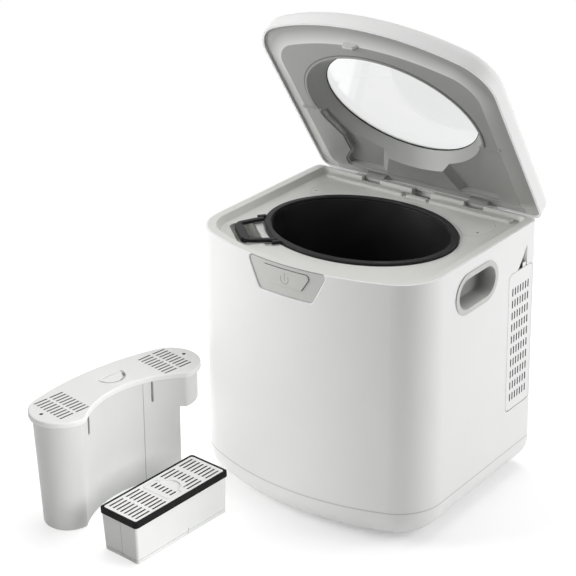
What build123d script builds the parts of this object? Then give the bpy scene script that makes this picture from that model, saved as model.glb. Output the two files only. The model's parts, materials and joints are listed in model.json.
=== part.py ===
from build123d import *
import os
from math import cos, radians, sin, sqrt

# Countertop electric food waste composter: a D-shaped bin with a hinged
# window lid, a lift-out oval bucket with a stirrer, and two filter cartridges
# standing on the floor beside it.
# Millimetres, +Z up. The origin is on the floor under the bucket's axis,
# the flat back faces +Y and the bowed front faces -Y.

# ---------------------------------------------------------------- body
half_width = 150.0
back_y = 125.0
front_y = -138.0
front_bow_radius = 305.0
front_corner_radius = 53.0
rear_corner_radius = 8.0
rim_z = 310.0
split_z = 42.0
base_flare = 3.0
shell_wall = 2.6
bottom_round = 36.0
foot_height = 3.0
foot_radius = 11.0
foot_inset = 54.0
fit_gap = 0.3
joint_gap = 0.4

# ---------------------------------------------------------------- deck
deck_floor_z = 303.5
deck_thickness = 3.0
deck_skirt_depth = 16.0
deck_skirt_wall = 2.0
deck_rim_width = 11.0
deck_rear_rim_width = 4.0
deck_slope_run = 5.0
ledge_y = 112.2
ledge_width = 8.0
ledge_half_length = 126.0
ledge_height = 3.4

# ---------------------------------------------------------------- bucket
rim_half_x = 113.8
rim_half_y = 89.8
rim_band = 7.5
rim_height = 3.0
rim_top_z = 306.3
bucket_flange = 1.5
bucket_bottom_z = 150.0
bucket_draw_in = 15.0
bucket_wall = 1.8
bucket_bottom_round = 12.0
well_gap = 4.0
well_wall = 1.5
well_bottom_z = 141.0
well_flange_thickness = 2.5
deck_bucket_gap = 1.2

# ---------------------------------------------------------------- drive and stirrer
hub_radius = 13.0
hub_height = 34.0
shaft_radius = 5.0
shaft_gap = 0.05
coupling_radius = 11.0
coupling_height = 7.6
coupling_slot_depth = 4.0
shaft_flats = 4.0
blade_reach = 58.0
blade_height = 14.0
blade_thickness = 3.0
blade_floor_gap = 1.5
motor_radius = 34.0
motor_height = 52.0
gearbox_size = 84.0
gearbox_height = 24.0
heater_thickness = 3.0

# ---------------------------------------------------------------- carrying loop on the bucket
loop_rim_angle_rear = 22.0
loop_rim_angle_front = 65.0
loop_axis_offset = 5.8
loop_axis_z = 305.7
loop_reach = 29.0
loop_grip_half = 24.0
loop_arm_half = 33.5
loop_arm_width = 5.0
loop_arm_thickness = 3.6
loop_grip_width = 9.5
loop_grip_thickness = 6.6
loop_pin_radius = 1.2
loop_lug_width = 4.0
loop_relief_depth = 1.5
pocket_side_gap = 8.0
pocket_end_gap = 9.0
pocket_wall = 2.0
pocket_floor_z = 284.0
pocket_corner_radius = 10.0

# ---------------------------------------------------------------- front fascia and button
fascia_top_half = 51.5
fascia_bottom_half = 34.0
fascia_bottom_z = 275.0
fascia_corner_radius = 6.0
fascia_thickness = 2.5
fascia_recess = 1.4
fascia_lip_round = 1.6
button_top_z = 305.5
button_bottom_z = 286.0
button_top_half = 33.5
button_bottom_half = 21.0
button_corner_radius = 4.0
button_proud = 1.2
button_travel = 1.5

# ---------------------------------------------------------------- side handles
grip_z = 273.5
grip_length = 84.0
grip_height = 47.0
grip_bezel = 6.0
grip_bezel_proud = 1.0
grip_cup_depth = 20.0
grip_cup_wall = 2.0

# ---------------------------------------------------------------- side vent door and its bay
door_y = 92.0
door_width = 50.0
door_bottom_z = 93.0
door_top_z = 262.0
door_corner_radius = 7.0
door_thickness = 2.6
door_slot_columns = 7
door_slot_rows = 10
door_slot_column_pitch = 5.45
door_slot_row_pitch = 14.4
door_slot_width = 2.2
door_slot_height = 9.6
door_pin_radius = 0.8
latch_width = 7.0
latch_height = 5.5
latch_thickness = 1.5
scoop_width = 24.0
scoop_height = 24.0
scoop_depth = 8.0
bay_depth = 46.0
bay_wall = 1.6

# ---------------------------------------------------------------- filter bay and cover behind the bucket
cover_half_length = 118.0
cover_front_y = 50.0
cover_back_y = 106.0
cover_end_radius = 24.0
cover_bucket_strip = 3.0
cover_thickness = 2.2
cover_ledge = 3.0
cover_dot_radius = 1.6
filter_bay_floor_z = 166.0
filter_bay_step_x = 62.0
filter_bay_step_z = 266.0
filter_bay_wall = 1.6

# ---------------------------------------------------------------- lid
lid_open_angle = 57.0
hinge_y = 129.5
hinge_z = 305.0
knuckle_radius = 4.0
hinge_pin_radius = 1.75
knuckle_x = 70.0
knuckle_length = 25.0
hinge_ear_length = 12.0
knuckle_slot_front = 10.0
lid_gap = 1.5
lid_height = 24.0
lid_overhang = 11.0
lid_wall = 2.4
lid_edge_round = 12.0
lid_rear_corner_radius = 15.0
liner_wall = 2.0
liner_edge_rise = 2.2
liner_drop = 2.9
liner_lip = 4.6
liner_rear_lip = 14.0
duct_depth = 7.0
duct_step = 1.6
duct_step_width = 3.0
duct_block_front = 80.0
duct_block_half = 36.0
latch_drop = 4.2
liner_side_run = 22.5
liner_front_run = 27.5
liner_rear_run = 17.5
window_half_x = 97.0
window_half_y = 76.0
window_y = -2.0
window_rebate = 4.0
glass_thickness = 3.0
glass_rise = 17.0
gasket_height = 0.8
gasket_width = 2.4
tunnel_wall = 2.4
bead_offset = 14.0
bead_width = 2.2
bead_height = 0.8
rib_height = 1.6

# ---------------------------------------------------------------- large filter cartridge
large_x = -191.0
large_y = -200.0
large_angle = 81.5
large_height = 139.5
lobe_x = 76.0
lobe_radius = 37.0
large_back_bulge = 47.5
large_waist_y = -8.0
large_tip_x = 72.0
large_shoulder_x = 86.0
large_shoulder_y = 35.6
large_tip_round = 10.0
large_flange_thickness = 6.0
large_flange_width = 4.0
large_taper_inset = 3.4
large_wall = 2.0
short_lobe_x = 68.0
short_lobe_height = 46.0
short_lobe_round = 2.5
groove_length = 28.0
groove_depth = 1.6
large_slot_outer_x = 84.5
large_slot_inner_x = 63.0
large_slot_length = 18.0
large_slot_width = 1.5
large_slot_pitch = 5.8
large_dot_x = 101.0
flap_x = 7.0
flap_hinge_v = 20.0
flap_hinge_drop = 1.7
flap_radius = 14.0
flap_thickness = 2.2
flap_pin_radius = 0.8
flap_pin_half = 19.5
flap_recess_radius = 17.5
flap_recess_depth = 4.6

# ---------------------------------------------------------------- small filter cartridge
small_x = -98.0
small_y = -231.0
small_angle = 86.5
small_length = 144.0
small_width = 56.0
small_height = 53.0
small_taper = 1.4
small_wall = 1.8
small_gasket_height = 7.0
small_gasket_width = 3.0
small_corner_radius = 3.0
small_grille_thickness = 2.0
small_slot_pitch = 5.7
small_slot_width = 2.5
small_flap_back = -14.0
small_flap_free = 6.0
small_flap_half = 19.0
small_moon_radius = 13.0

os.makedirs("parts", exist_ok=True)


def d_outline(half, front, back, bow, corner, rear):
    """Flat back, straight sides, bowed front, as a sketch on the XY plane."""
    shoulder = front + bow - sqrt(bow**2 - half**2)
    with BuildSketch(mode=Mode.PRIVATE) as outline:
        with BuildLine():
            Polyline((half, shoulder), (half, back), (-half, back), (-half, shoulder))
            ThreePointArc((-half, shoulder), (0, front), (half, shoulder))
        make_face()
        fillet(outline.vertices().group_by(Axis.Y)[0], corner)
        if rear:
            fillet(outline.vertices().group_by(Axis.Y)[-1], rear)
    return outline.sketch


def body_plan(inset, rear=rear_corner_radius):
    """The body's outline at the rim, drawn in by inset all round."""
    return d_outline(
        half_width - inset,
        front_y + inset,
        back_y - inset,
        front_bow_radius - inset,
        front_corner_radius - inset,
        rear and max(rear - inset, 1.0),
    )


def lid_plan(inset):
    """The lid's outline: the body's, reaching past the back over the hinge."""
    return d_outline(
        half_width - inset,
        front_y + inset,
        back_y + lid_overhang - inset,
        front_bow_radius - inset,
        front_corner_radius - inset,
        max(lid_rear_corner_radius - inset, 1.0),
    )


def oval(grow, half_x=rim_half_x, half_y=rim_half_y):
    """The bucket's oval, grown by grow all round."""
    with BuildSketch(mode=Mode.PRIVATE) as shape:
        Ellipse(half_x + grow, half_y + grow)
    return shape.sketch


def ring(outer, inner):
    """One sketch with another cut out of it."""
    with BuildSketch(mode=Mode.PRIVATE) as shape:
        add(outer)
        add(inner, mode=Mode.SUBTRACT)
    return shape.sketch


def body_inset_at(z):
    """How far the drafted wall stands outside the rim outline at height z, as a negative inset."""
    return -base_flare * (rim_z - z) / (rim_z - split_z)


def wall_block(inset):
    """The drafted body above the parting line as one solid, drawn in by inset all round."""
    with BuildPart(mode=Mode.PRIVATE) as block:
        with BuildSketch(Plane.XY.offset(split_z)):
            add(body_plan(inset - base_flare))
        with BuildSketch(Plane.XY.offset(rim_z)):
            add(body_plan(inset))
        loft()
    return block.part


# ================================================================ base pan
def pan_block(inset):
    """The rolled-under base: a D-shaped block with a large bottom radius that runs out at the back."""
    rear_radius = rear_corner_radius + base_flare - inset
    with BuildPart(mode=Mode.PRIVATE) as block:
        with BuildSketch(Plane.XY.offset(foot_height + inset)):
            add(body_plan(inset - base_flare, rear=0))
        extrude(amount=split_z - foot_height - inset)
        bottom = block.faces().sort_by(Axis.Z)[0]
        rolled = bottom.edges().filter_by(lambda edge: edge.center().Y < back_y - inset)
        fillet(rolled, bottom_round - inset)
        back = block.faces().sort_by(Axis.Y)[-1]
        fillet(back.edges().filter_by(lambda edge: edge.center().Z < split_z - 0.1), rear_radius)
    return block.part


foot_front_y = front_y + front_corner_radius + 20
foot_rear_y = back_y - foot_inset + 20
foot_x = half_width - foot_inset
foot_places = [
    (-foot_x, foot_front_y),
    (foot_x, foot_front_y),
    (-foot_x, foot_rear_y),
    (foot_x, foot_rear_y),
]
screw_boss_radius = 4.5
screw_radius = 1.6
screw_places = [(-foot_x, 0), (foot_x, 0), (-40, foot_rear_y + 12), (40, foot_rear_y + 12)]
pan_floor_z = foot_height + shell_wall

with BuildPart() as base_pan:
    add(pan_block(0))
    add(pan_block(shell_wall), mode=Mode.SUBTRACT)
    with BuildSketch(Plane.XY.offset(pan_floor_z)):
        with Locations(*screw_places):
            Circle(screw_boss_radius)
    extrude(amount=18)
    with BuildSketch(Plane.XY.offset(foot_height)):
        with GridLocations(9, 0, 9, 1):
            SlotOverall(44, 3.2, rotation=90)
    extrude(amount=shell_wall, mode=Mode.SUBTRACT)
    with Locations(*[(x, y, foot_height) for x, y in screw_places]):
        CounterBoreHole(screw_radius, 3.2, 6, depth=20)
base_pan.part.label = "base_pan"
export_step(base_pan.part, "parts/base_pan.step")

with BuildPart() as feet:
    with BuildSketch():
        with Locations(*foot_places):
            Circle(foot_radius)
    extrude(amount=foot_height)
    fillet(feet.faces().filter_by(Axis.Z).group_by(Axis.Z)[0].edges(), 1.0)
feet.part.label = "feet"
export_step(feet.part, "parts/feet.step")

with BuildPart() as base_screws:
    for x, y in screw_places:
        with BuildSketch(Plane.XY.offset(foot_height + 3.4)):
            with Locations((x, y)):
                Circle(2.9)
        extrude(amount=2.4)
        with BuildSketch(Plane.XY.offset(foot_height + 5.8)):
            with Locations((x, y)):
                Circle(screw_radius - 0.05)
        extrude(amount=12)
base_screws.part.label = "base_screws"
export_step(base_screws.part, "parts/base_screws.step")

# ================================================================ outer shell
hinge_rail_half = knuckle_x + knuckle_length / 2 + hinge_ear_length
hinge_rail_bottom_z = hinge_z - knuckle_radius - 2
inlet_x = -92.0
inlet_z = 78.0
inlet_width = 28.0
inlet_height = 20.0


def fascia_outline(grow):
    """The trapezoid notch at the top of the front wall, on the XZ plane."""
    top = rim_z + 2
    lean = (fascia_top_half - fascia_bottom_half) / (rim_z - fascia_bottom_z)
    top_half = fascia_top_half + lean * 2 + grow
    bottom_half = fascia_bottom_half - lean * grow + grow
    with BuildSketch(Plane.XZ, mode=Mode.PRIVATE) as notch:
        Polygon(
            (-top_half, top),
            (-bottom_half, fascia_bottom_z - grow),
            (bottom_half, fascia_bottom_z - grow),
            (top_half, top),
            align=None,
        )
        fillet(notch.vertices().group_by(Axis.Z)[0], fascia_corner_radius + grow)
    return notch.sketch


def button_outline(grow):
    """The power button's face, wide at the top, on the XZ plane."""
    with BuildSketch(Plane.XZ, mode=Mode.PRIVATE) as face:
        Polygon(
            (-button_top_half - grow, button_top_z + grow),
            (-button_bottom_half - grow, button_bottom_z - grow),
            (button_bottom_half + grow, button_bottom_z - grow),
            (button_top_half + grow, button_top_z + grow),
            align=None,
        )
        fillet(face.vertices(), button_corner_radius + grow)
    return face.sketch


door_z = (door_bottom_z + door_top_z) / 2
door_height = door_top_z - door_bottom_z
scoop_x = half_width - body_inset_at(door_top_z)

door_hinge_z = door_bottom_z + door_thickness / 2 + 0.1
door_hinge_x = half_width - body_inset_at(door_hinge_z) - door_thickness / 2
door_pin_half = door_width / 2 + 0.6
door_barrel_half = door_width / 2 - 5.5


def is_notch_edge(edge):
    """True for the outer edges of the notch that the fascia lies in."""
    middle = edge @ 0.5
    wall_y = front_y + front_bow_radius - sqrt(front_bow_radius**2 - middle.X**2)
    outside = middle.Y < wall_y + body_inset_at(middle.Z) + 0.5
    below_rim = middle.Z < rim_z - 0.5
    return outside and below_rim and middle.Z > fascia_bottom_z - 1 and abs(middle.X) < fascia_top_half + 2


with BuildPart() as outer_shell:
    add(wall_block(0))
    add(wall_block(shell_wall), mode=Mode.SUBTRACT)
    # thicker pad inside the right wall, which the finger scoop over the vent door is sunk into
    with BuildSketch(Plane.YZ.offset(half_width - shell_wall - scoop_depth)):
        with Locations((door_y, door_top_z + scoop_height / 2 + 1)):
            Rectangle(scoop_width + 6, scoop_height + 6)
    extrude(amount=scoop_depth + shell_wall / 2)
    with BuildSketch(Plane.XY.offset(door_top_z - 3)):
        Polygon(
            (scoop_x + 1, door_y - scoop_width / 2),
            (scoop_x + 1, door_y + scoop_width / 2),
            (scoop_x - scoop_depth, door_y + scoop_width / 2),
            align=None,
        )
    with BuildSketch(Plane.XY.offset(door_top_z + scoop_height)):
        Polygon(
            (scoop_x + 1, door_y + scoop_width / 2 - 4),
            (scoop_x + 1, door_y + scoop_width / 2),
            (scoop_x - 0.6, door_y + scoop_width / 2),
            align=None,
        )
    loft(mode=Mode.SUBTRACT)
    with BuildSketch(Plane.XZ.offset(-front_y - 30)):
        add(fascia_outline(0))
    extrude(amount=40, mode=Mode.SUBTRACT)
    notch_edges = outer_shell.edges().filter_by(is_notch_edge)
    fillet(notch_edges, fascia_lip_round)
    with BuildSketch(Plane.YZ):
        with Locations((0, grip_z)):
            SlotOverall(grip_length - grip_bezel, grip_height - grip_bezel)
    extrude(amount=half_width + 10, both=True, mode=Mode.SUBTRACT)
    with BuildSketch(Plane.YZ.offset(half_width - 12)):
        with Locations((door_y, door_z)):
            RectangleRounded(door_width + 2 * joint_gap, door_height + 2 * joint_gap, door_corner_radius)
    extrude(amount=30, mode=Mode.SUBTRACT)
    # pivot holes of the vent door, in the edges of its opening
    with BuildSketch(Plane.XZ.offset(-door_y - door_pin_half)):
        with Locations((door_hinge_x, door_hinge_z)):
            Circle(door_pin_radius + shaft_gap)
    extrude(amount=2 * door_pin_half, mode=Mode.SUBTRACT)
    # notch in the back wall for the deck's hinge rail, and the mains inlet and intake louvres
    with BuildSketch(Plane.XZ.offset(-back_y - 12)):
        with Locations((0, rim_z)):
            Rectangle(2 * hinge_rail_half, 2 * (rim_z - hinge_rail_bottom_z))
        with Locations((inlet_x, inlet_z)):
            Rectangle(inlet_width, inlet_height)
        with Locations((40, 110)):
            with GridLocations(0, 9, 1, 9):
                SlotOverall(90, 3.4)
    extrude(amount=24, mode=Mode.SUBTRACT)
outer_shell.part.label = "outer_shell"
export_step(outer_shell.part, "parts/outer_shell.step")

# ================================================================ top deck
deck_inset = shell_wall
recess_half = half_width - deck_rim_width
recess_front = front_y + deck_rim_width + 1
recess_back = back_y - deck_rear_rim_width


def recess_plan(inset):
    """The sunken middle of the deck, where the bucket and the filter cover lie."""
    return d_outline(
        recess_half - inset,
        recess_front + inset,
        recess_back - inset / 4,
        front_bow_radius - deck_rim_width - inset,
        front_corner_radius - deck_rim_width - inset,
        rear_corner_radius,
    )


def rim_point(angle):
    """A point on the bucket's rim, measured from the left towards the front."""
    return Vector(-rim_half_x * cos(radians(angle)), -rim_half_y * sin(radians(angle)), 0)


loop_rear = rim_point(loop_rim_angle_rear)
loop_front = rim_point(loop_rim_angle_front)
loop_along = (loop_front - loop_rear).normalized()
loop_out = loop_along.rotate(Axis.Z, -90)
loop_middle = (loop_rear + loop_front) / 2 + loop_out * loop_axis_offset


def loop_plane(z):
    """Level plane at the carrying loop's hinge: X along the hinge, Y outwards from the bucket."""
    return Plane(origin=(loop_middle.X, loop_middle.Y, z), x_dir=-loop_along, z_dir=(0, 0, 1))


def cover_outline(grow):
    """Crescent behind the bucket: two round lobes joined by a narrow waist."""
    length = 2 * (cover_half_length + grow)
    depth = cover_back_y - cover_front_y + 2 * grow
    with BuildSketch(mode=Mode.PRIVATE) as crescent:
        with Locations((0, (cover_back_y + cover_front_y) / 2)):
            RectangleRounded(length, depth, cover_end_radius + grow)
        add(oval(deck_bucket_gap + cover_bucket_strip - grow), mode=Mode.SUBTRACT)
        lower = crescent.faces().sort_by(Axis.Y)[:-1]
        if lower:
            add(lower, mode=Mode.SUBTRACT)
    return crescent.sketch


pocket_front = loop_reach + pocket_end_gap
pocket_half = loop_grip_half + pocket_side_gap


def pocket_outline(grow):
    """Finger pocket under the folded carrying loop, in the loop plane's own axes."""
    with BuildSketch(mode=Mode.PRIVATE) as pocket:
        with Locations((0, (9 + pocket_front) / 2)):
            RectangleRounded(
                2 * (pocket_half + grow), pocket_front - 9 + 2 * grow, pocket_corner_radius + grow
            )
    return pocket.sketch


deck_under_z = deck_floor_z - deck_thickness

with BuildPart() as top_deck:
    with BuildSketch(Plane.XY.offset(rim_z - deck_skirt_depth)):
        add(body_plan(deck_inset))
    extrude(amount=deck_skirt_depth)
    with BuildSketch(Plane.XY.offset(rim_z - deck_skirt_depth)):
        add(body_plan(deck_inset + deck_skirt_wall))
    extrude(amount=deck_under_z - rim_z + deck_skirt_depth, mode=Mode.SUBTRACT)
    with BuildSketch(Plane.XY.offset(deck_floor_z)):
        add(recess_plan(deck_slope_run))
    with BuildSketch(Plane.XY.offset(rim_z)):
        add(recess_plan(0))
    loft(mode=Mode.SUBTRACT)
    # finger pocket with its own tub
    with BuildSketch(loop_plane(pocket_floor_z - pocket_wall)):
        add(pocket_outline(pocket_wall))
    extrude(amount=deck_under_z - pocket_floor_z + pocket_wall)
    with BuildSketch(loop_plane(pocket_floor_z)):
        add(pocket_outline(0))
    extrude(amount=rim_z - pocket_floor_z, mode=Mode.SUBTRACT)
    # shallow relief that the loop's arms turn in
    with BuildSketch(loop_plane(deck_floor_z - loop_relief_depth)):
        with Locations((0, 4)):
            RectangleRounded(2 * (loop_arm_half + loop_lug_width + 4), 14, 3)
    extrude(amount=loop_relief_depth, mode=Mode.SUBTRACT)
    # long raised ledge in front of the lid hinge
    with BuildSketch(Plane.XY.offset(deck_floor_z)):
        with Locations((0, ledge_y)):
            SlotOverall(2 * ledge_half_length, ledge_width)
            Rectangle(38, ledge_width, mode=Mode.SUBTRACT)
    extrude(amount=ledge_height)
    with BuildSketch(Plane.XY.offset(deck_floor_z)):
        with Locations((0, ledge_y)):
            Rectangle(26, 5)
    extrude(amount=ledge_height - 1)
    # hinge rail through the notch in the back wall, round at the pin
    with BuildSketch(Plane.YZ.offset(-hinge_rail_half)):
        with BuildLine():
            Polyline(
                (hinge_y, hinge_z + knuckle_radius),
                (recess_back, hinge_z + knuckle_radius),
                (recess_back, hinge_rail_bottom_z),
                (hinge_y, hinge_z - knuckle_radius),
            )
            RadiusArc(
                (hinge_y, hinge_z - knuckle_radius),
                (hinge_y, hinge_z + knuckle_radius),
                -knuckle_radius,
            )
        make_face()
    extrude(amount=2 * hinge_rail_half)
    with BuildSketch(Plane.XY.offset(rim_z - deck_skirt_depth - 1)):
        with Locations((-knuckle_x, hinge_y), (knuckle_x, hinge_y)):
            with Locations((0, -knuckle_slot_front / 2 + knuckle_radius / 2 + 0.6)):
                Rectangle(knuckle_length + 2 * fit_gap, knuckle_slot_front + knuckle_radius + 1.2)
        with Locations((0, hinge_y - knuckle_slot_front / 2 - 1)):
            Rectangle(knuckle_length + 2 * fit_gap, knuckle_slot_front)
    extrude(amount=deck_skirt_depth + 6, mode=Mode.SUBTRACT)
    with BuildSketch(Plane.YZ.offset(-hinge_rail_half + 3)):
        with Locations((hinge_y, hinge_z)):
            Circle(hinge_pin_radius)
    extrude(amount=2 * hinge_rail_half - 6, mode=Mode.SUBTRACT)
    # guide for the power button through the skirt
    with BuildPart(Plane.XY, mode=Mode.PRIVATE) as guide:
        with BuildSketch(Plane.XZ.offset(-front_y - 30)):
            add(button_outline(joint_gap))
        extrude(amount=40)
        add(wall_block(deck_inset + deck_skirt_wall + button_travel + 1), mode=Mode.SUBTRACT)
    add(guide.part, mode=Mode.SUBTRACT)
    # bucket opening, filter opening with its seat
    with BuildSketch(Plane.XY.offset(deck_under_z)):
        add(oval(deck_bucket_gap))
        add(cover_outline(-cover_ledge))
    extrude(amount=20, mode=Mode.SUBTRACT)
    with BuildSketch(Plane.XY.offset(deck_floor_z - cover_thickness - fit_gap)):
        add(cover_outline(fit_gap))
    extrude(amount=20, mode=Mode.SUBTRACT)
top_deck.part.label = "top_deck"
export_step(top_deck.part, "parts/top_deck.step")

with BuildPart() as hinge_pins:
    for x in (-knuckle_x, knuckle_x):
        with BuildSketch(Plane.YZ.offset(x - knuckle_length / 2 - hinge_ear_length + 3)):
            with Locations((hinge_y, hinge_z)):
                Circle(hinge_pin_radius)
        extrude(amount=knuckle_length + 2 * hinge_ear_length - 6)
hinge_pins.part.label = "hinge_pins"
export_step(hinge_pins.part, "parts/hinge_pins.step")

# ================================================================ fascia, button, side grips
with BuildPart() as front_fascia:
    with BuildSketch(Plane.XY.offset(fascia_bottom_z - 8)):
        add(ring(body_plan(fascia_recess), body_plan(shell_wall + fascia_thickness)))
    extrude(amount=deck_floor_z - fascia_bottom_z + 8 + 6)
    with BuildSketch(Plane.XZ.offset(-front_y - 30)):
        add(fascia_outline(-0.3))
    extrude(amount=40, mode=Mode.INTERSECT)
    with BuildSketch(Plane.XY.offset(rim_z - deck_skirt_depth)):
        add(body_plan(deck_inset))
    extrude(amount=deck_skirt_depth + 4, mode=Mode.SUBTRACT)
    with BuildSketch(Plane.XZ.offset(-front_y - 30)):
        add(button_outline(fit_gap))
    extrude(amount=40, mode=Mode.SUBTRACT)
front_fascia.part.label = "front_fascia"
export_step(front_fascia.part, "parts/front_fascia.step")

with BuildPart() as power_button:
    with BuildSketch(Plane.XY.offset(button_bottom_z)):
        add(ring(body_plan(fascia_recess - button_proud), body_plan(deck_inset + deck_skirt_wall)))
    extrude(amount=button_top_z - button_bottom_z)
    with BuildSketch(Plane.XZ.offset(-front_y - 30)):
        add(button_outline(0))
    extrude(amount=40, mode=Mode.INTERSECT)
    rim = power_button.faces().sort_by(Axis.Y)[0].edges()
    fillet(rim, 0.7)
power_button.part.label = "power_button"
export_step(power_button.part, "parts/power_button.step")


def grip_cup(side):
    """Stadium bezel and hand recess for one side; side is 1 on the right, -1 on the left."""
    wall_x = half_width - body_inset_at(grip_z)
    outward = Plane(origin=(side * wall_x, 0, grip_z), x_dir=(0, 1, 0), z_dir=(side, 0, 0))
    outer_length = grip_length - grip_bezel - 0.2
    outer_height = grip_height - grip_bezel - 0.2
    mouth_length = grip_length - 2 * grip_bezel
    mouth_height = grip_height - 2 * grip_bezel
    with BuildPart(mode=Mode.PRIVATE) as cup:
        with BuildSketch(outward.offset(0.4)):
            SlotOverall(grip_length, grip_height)
        extrude(amount=grip_bezel_proud - 0.4)
        fillet(cup.edges(), 0.25)
        with BuildSketch(outward.offset(-shell_wall)):
            SlotOverall(outer_length, outer_height)
        extrude(amount=shell_wall + 0.5)
        with BuildSketch(outward.offset(-grip_cup_depth)):
            SlotOverall(mouth_length - 2, mouth_height - 2)
        with BuildSketch(outward.offset(-shell_wall + 0.2)):
            SlotOverall(mouth_length + 2 * grip_cup_wall, mouth_height + 2 * grip_cup_wall)
        loft()
        with BuildSketch(outward.offset(-grip_cup_depth + grip_cup_wall)):
            SlotOverall(mouth_length - 6, mouth_height - 6)
        with BuildSketch(outward.offset(grip_bezel_proud + 0.1)):
            SlotOverall(mouth_length, mouth_height)
        loft(mode=Mode.SUBTRACT)
    return cup.part


with BuildPart() as grip_cup_right:
    add(grip_cup(1))
grip_cup_right.part.label = "grip_cup_right"
export_step(grip_cup_right.part, "parts/grip_cup_right.step")

with BuildPart() as grip_cup_left:
    add(grip_cup(-1))
grip_cup_left.part.label = "grip_cup_left"
export_step(grip_cup_left.part, "parts/grip_cup_left.step")

# ================================================================ bucket and what turns in it
bucket_top_z = rim_top_z - rim_height - bucket_flange
bucket_mouth = rim_band - 1.0

with BuildPart() as bucket:
    with BuildSketch(Plane.XY.offset(bucket_bottom_z)):
        add(oval(-bucket_mouth - bucket_draw_in))
    with BuildSketch(Plane.XY.offset(bucket_top_z)):
        add(oval(-bucket_mouth))
    loft()
    fillet(bucket.faces().sort_by(Axis.Z)[0].edges(), bucket_bottom_round)
    with BuildSketch(Plane.XY.offset(bucket_top_z)):
        add(oval(-0.8))
    extrude(amount=bucket_flange)
    with BuildPart(mode=Mode.SUBTRACT) as inside:
        with BuildSketch(Plane.XY.offset(bucket_bottom_z + bucket_wall)):
            add(oval(-bucket_mouth - bucket_draw_in - bucket_wall))
        with BuildSketch(Plane.XY.offset(bucket_top_z + bucket_flange)):
            add(oval(-bucket_mouth - bucket_wall))
        loft()
        fillet(inside.faces().sort_by(Axis.Z)[0].edges(), bucket_bottom_round - bucket_wall)
    with BuildSketch(Plane.XY.offset(bucket_bottom_z - 2)):
        Circle(shaft_radius + 3)
    extrude(amount=bucket_wall + 6, mode=Mode.SUBTRACT)
bucket.part.label = "bucket"
export_step(bucket.part, "parts/bucket.step")

with BuildPart() as bucket_rim:
    with BuildSketch(Plane.XY.offset(rim_top_z - rim_height)):
        add(ring(oval(0), oval(-rim_band)))
    extrude(amount=rim_height)
    fillet(bucket_rim.faces().sort_by(Axis.Z)[-1].edges(), 1.2)
    # ears that hold the carrying loop
    with BuildSketch(loop_plane(deck_floor_z + joint_gap)):
        with Locations(
            (loop_arm_half + loop_lug_width, 0.5 - loop_axis_offset / 2 + 1),
            (-loop_arm_half - loop_lug_width, 0.5 - loop_axis_offset / 2 + 1),
        ):
            Rectangle(loop_lug_width, loop_axis_offset + 4)
    extrude(amount=loop_axis_z + loop_arm_thickness / 2 - deck_floor_z - joint_gap)
    loop_hinge_line = Plane(origin=loop_plane(loop_axis_z).origin, x_dir=(0, 0, 1), z_dir=loop_along)
    with BuildSketch(loop_hinge_line.offset(-loop_arm_half - loop_lug_width - 1)):
        Circle(loop_pin_radius + shaft_gap)
    extrude(amount=2 * (loop_arm_half + loop_lug_width + 1), mode=Mode.SUBTRACT)
bucket_rim.part.label = "bucket_rim"
export_step(bucket_rim.part, "parts/bucket_rim.step")

with BuildPart() as carrying_loop:
    with BuildSketch(loop_plane(loop_axis_z - loop_arm_thickness / 2)):
        with BuildLine():
            FilletPolyline(
                (loop_arm_half - loop_arm_width / 2, 0),
                (loop_grip_half, loop_reach),
                (-loop_grip_half, loop_reach),
                (-loop_arm_half + loop_arm_width / 2, 0),
                radius=7,
            )
            offset(amount=loop_arm_width / 2)
        make_face()
    extrude(amount=loop_arm_thickness)
    with BuildSketch(loop_plane(loop_axis_z + loop_arm_thickness / 2 - loop_grip_thickness)):
        with Locations((0, loop_reach)):
            SlotOverall(2 * loop_grip_half - 6, loop_grip_width)
    extrude(amount=loop_grip_thickness)
    grip_edges = carrying_loop.faces().filter_by(Axis.Z).group_by(Axis.Z)
    fillet(grip_edges[0].edges(), 1.4)
    with BuildSketch(loop_hinge_line.offset(-loop_arm_half - loop_lug_width)):
        Circle(loop_pin_radius)
    extrude(amount=loop_lug_width + 3)
    with BuildSketch(loop_hinge_line.offset(loop_arm_half - 3)):
        Circle(loop_pin_radius)
    extrude(amount=loop_lug_width + 3)
carrying_loop.part.label = "carrying_loop"
export_step(carrying_loop.part, "parts/carrying_loop.step")

seal_thickness = 3.0
with BuildPart() as shaft_seal:
    with BuildSketch(Plane.XY.offset(bucket_bottom_z)):
        Circle(shaft_radius + 3)
        Circle(shaft_radius + shaft_gap, mode=Mode.SUBTRACT)
    extrude(amount=bucket_wall)
    with BuildSketch(Plane.XY.offset(bucket_bottom_z + bucket_wall)):
        Circle(shaft_radius + 6)
        Circle(shaft_radius + shaft_gap, mode=Mode.SUBTRACT)
    extrude(amount=seal_thickness)
shaft_seal.part.label = "shaft_seal"
export_step(shaft_seal.part, "parts/shaft_seal.step")

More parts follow.
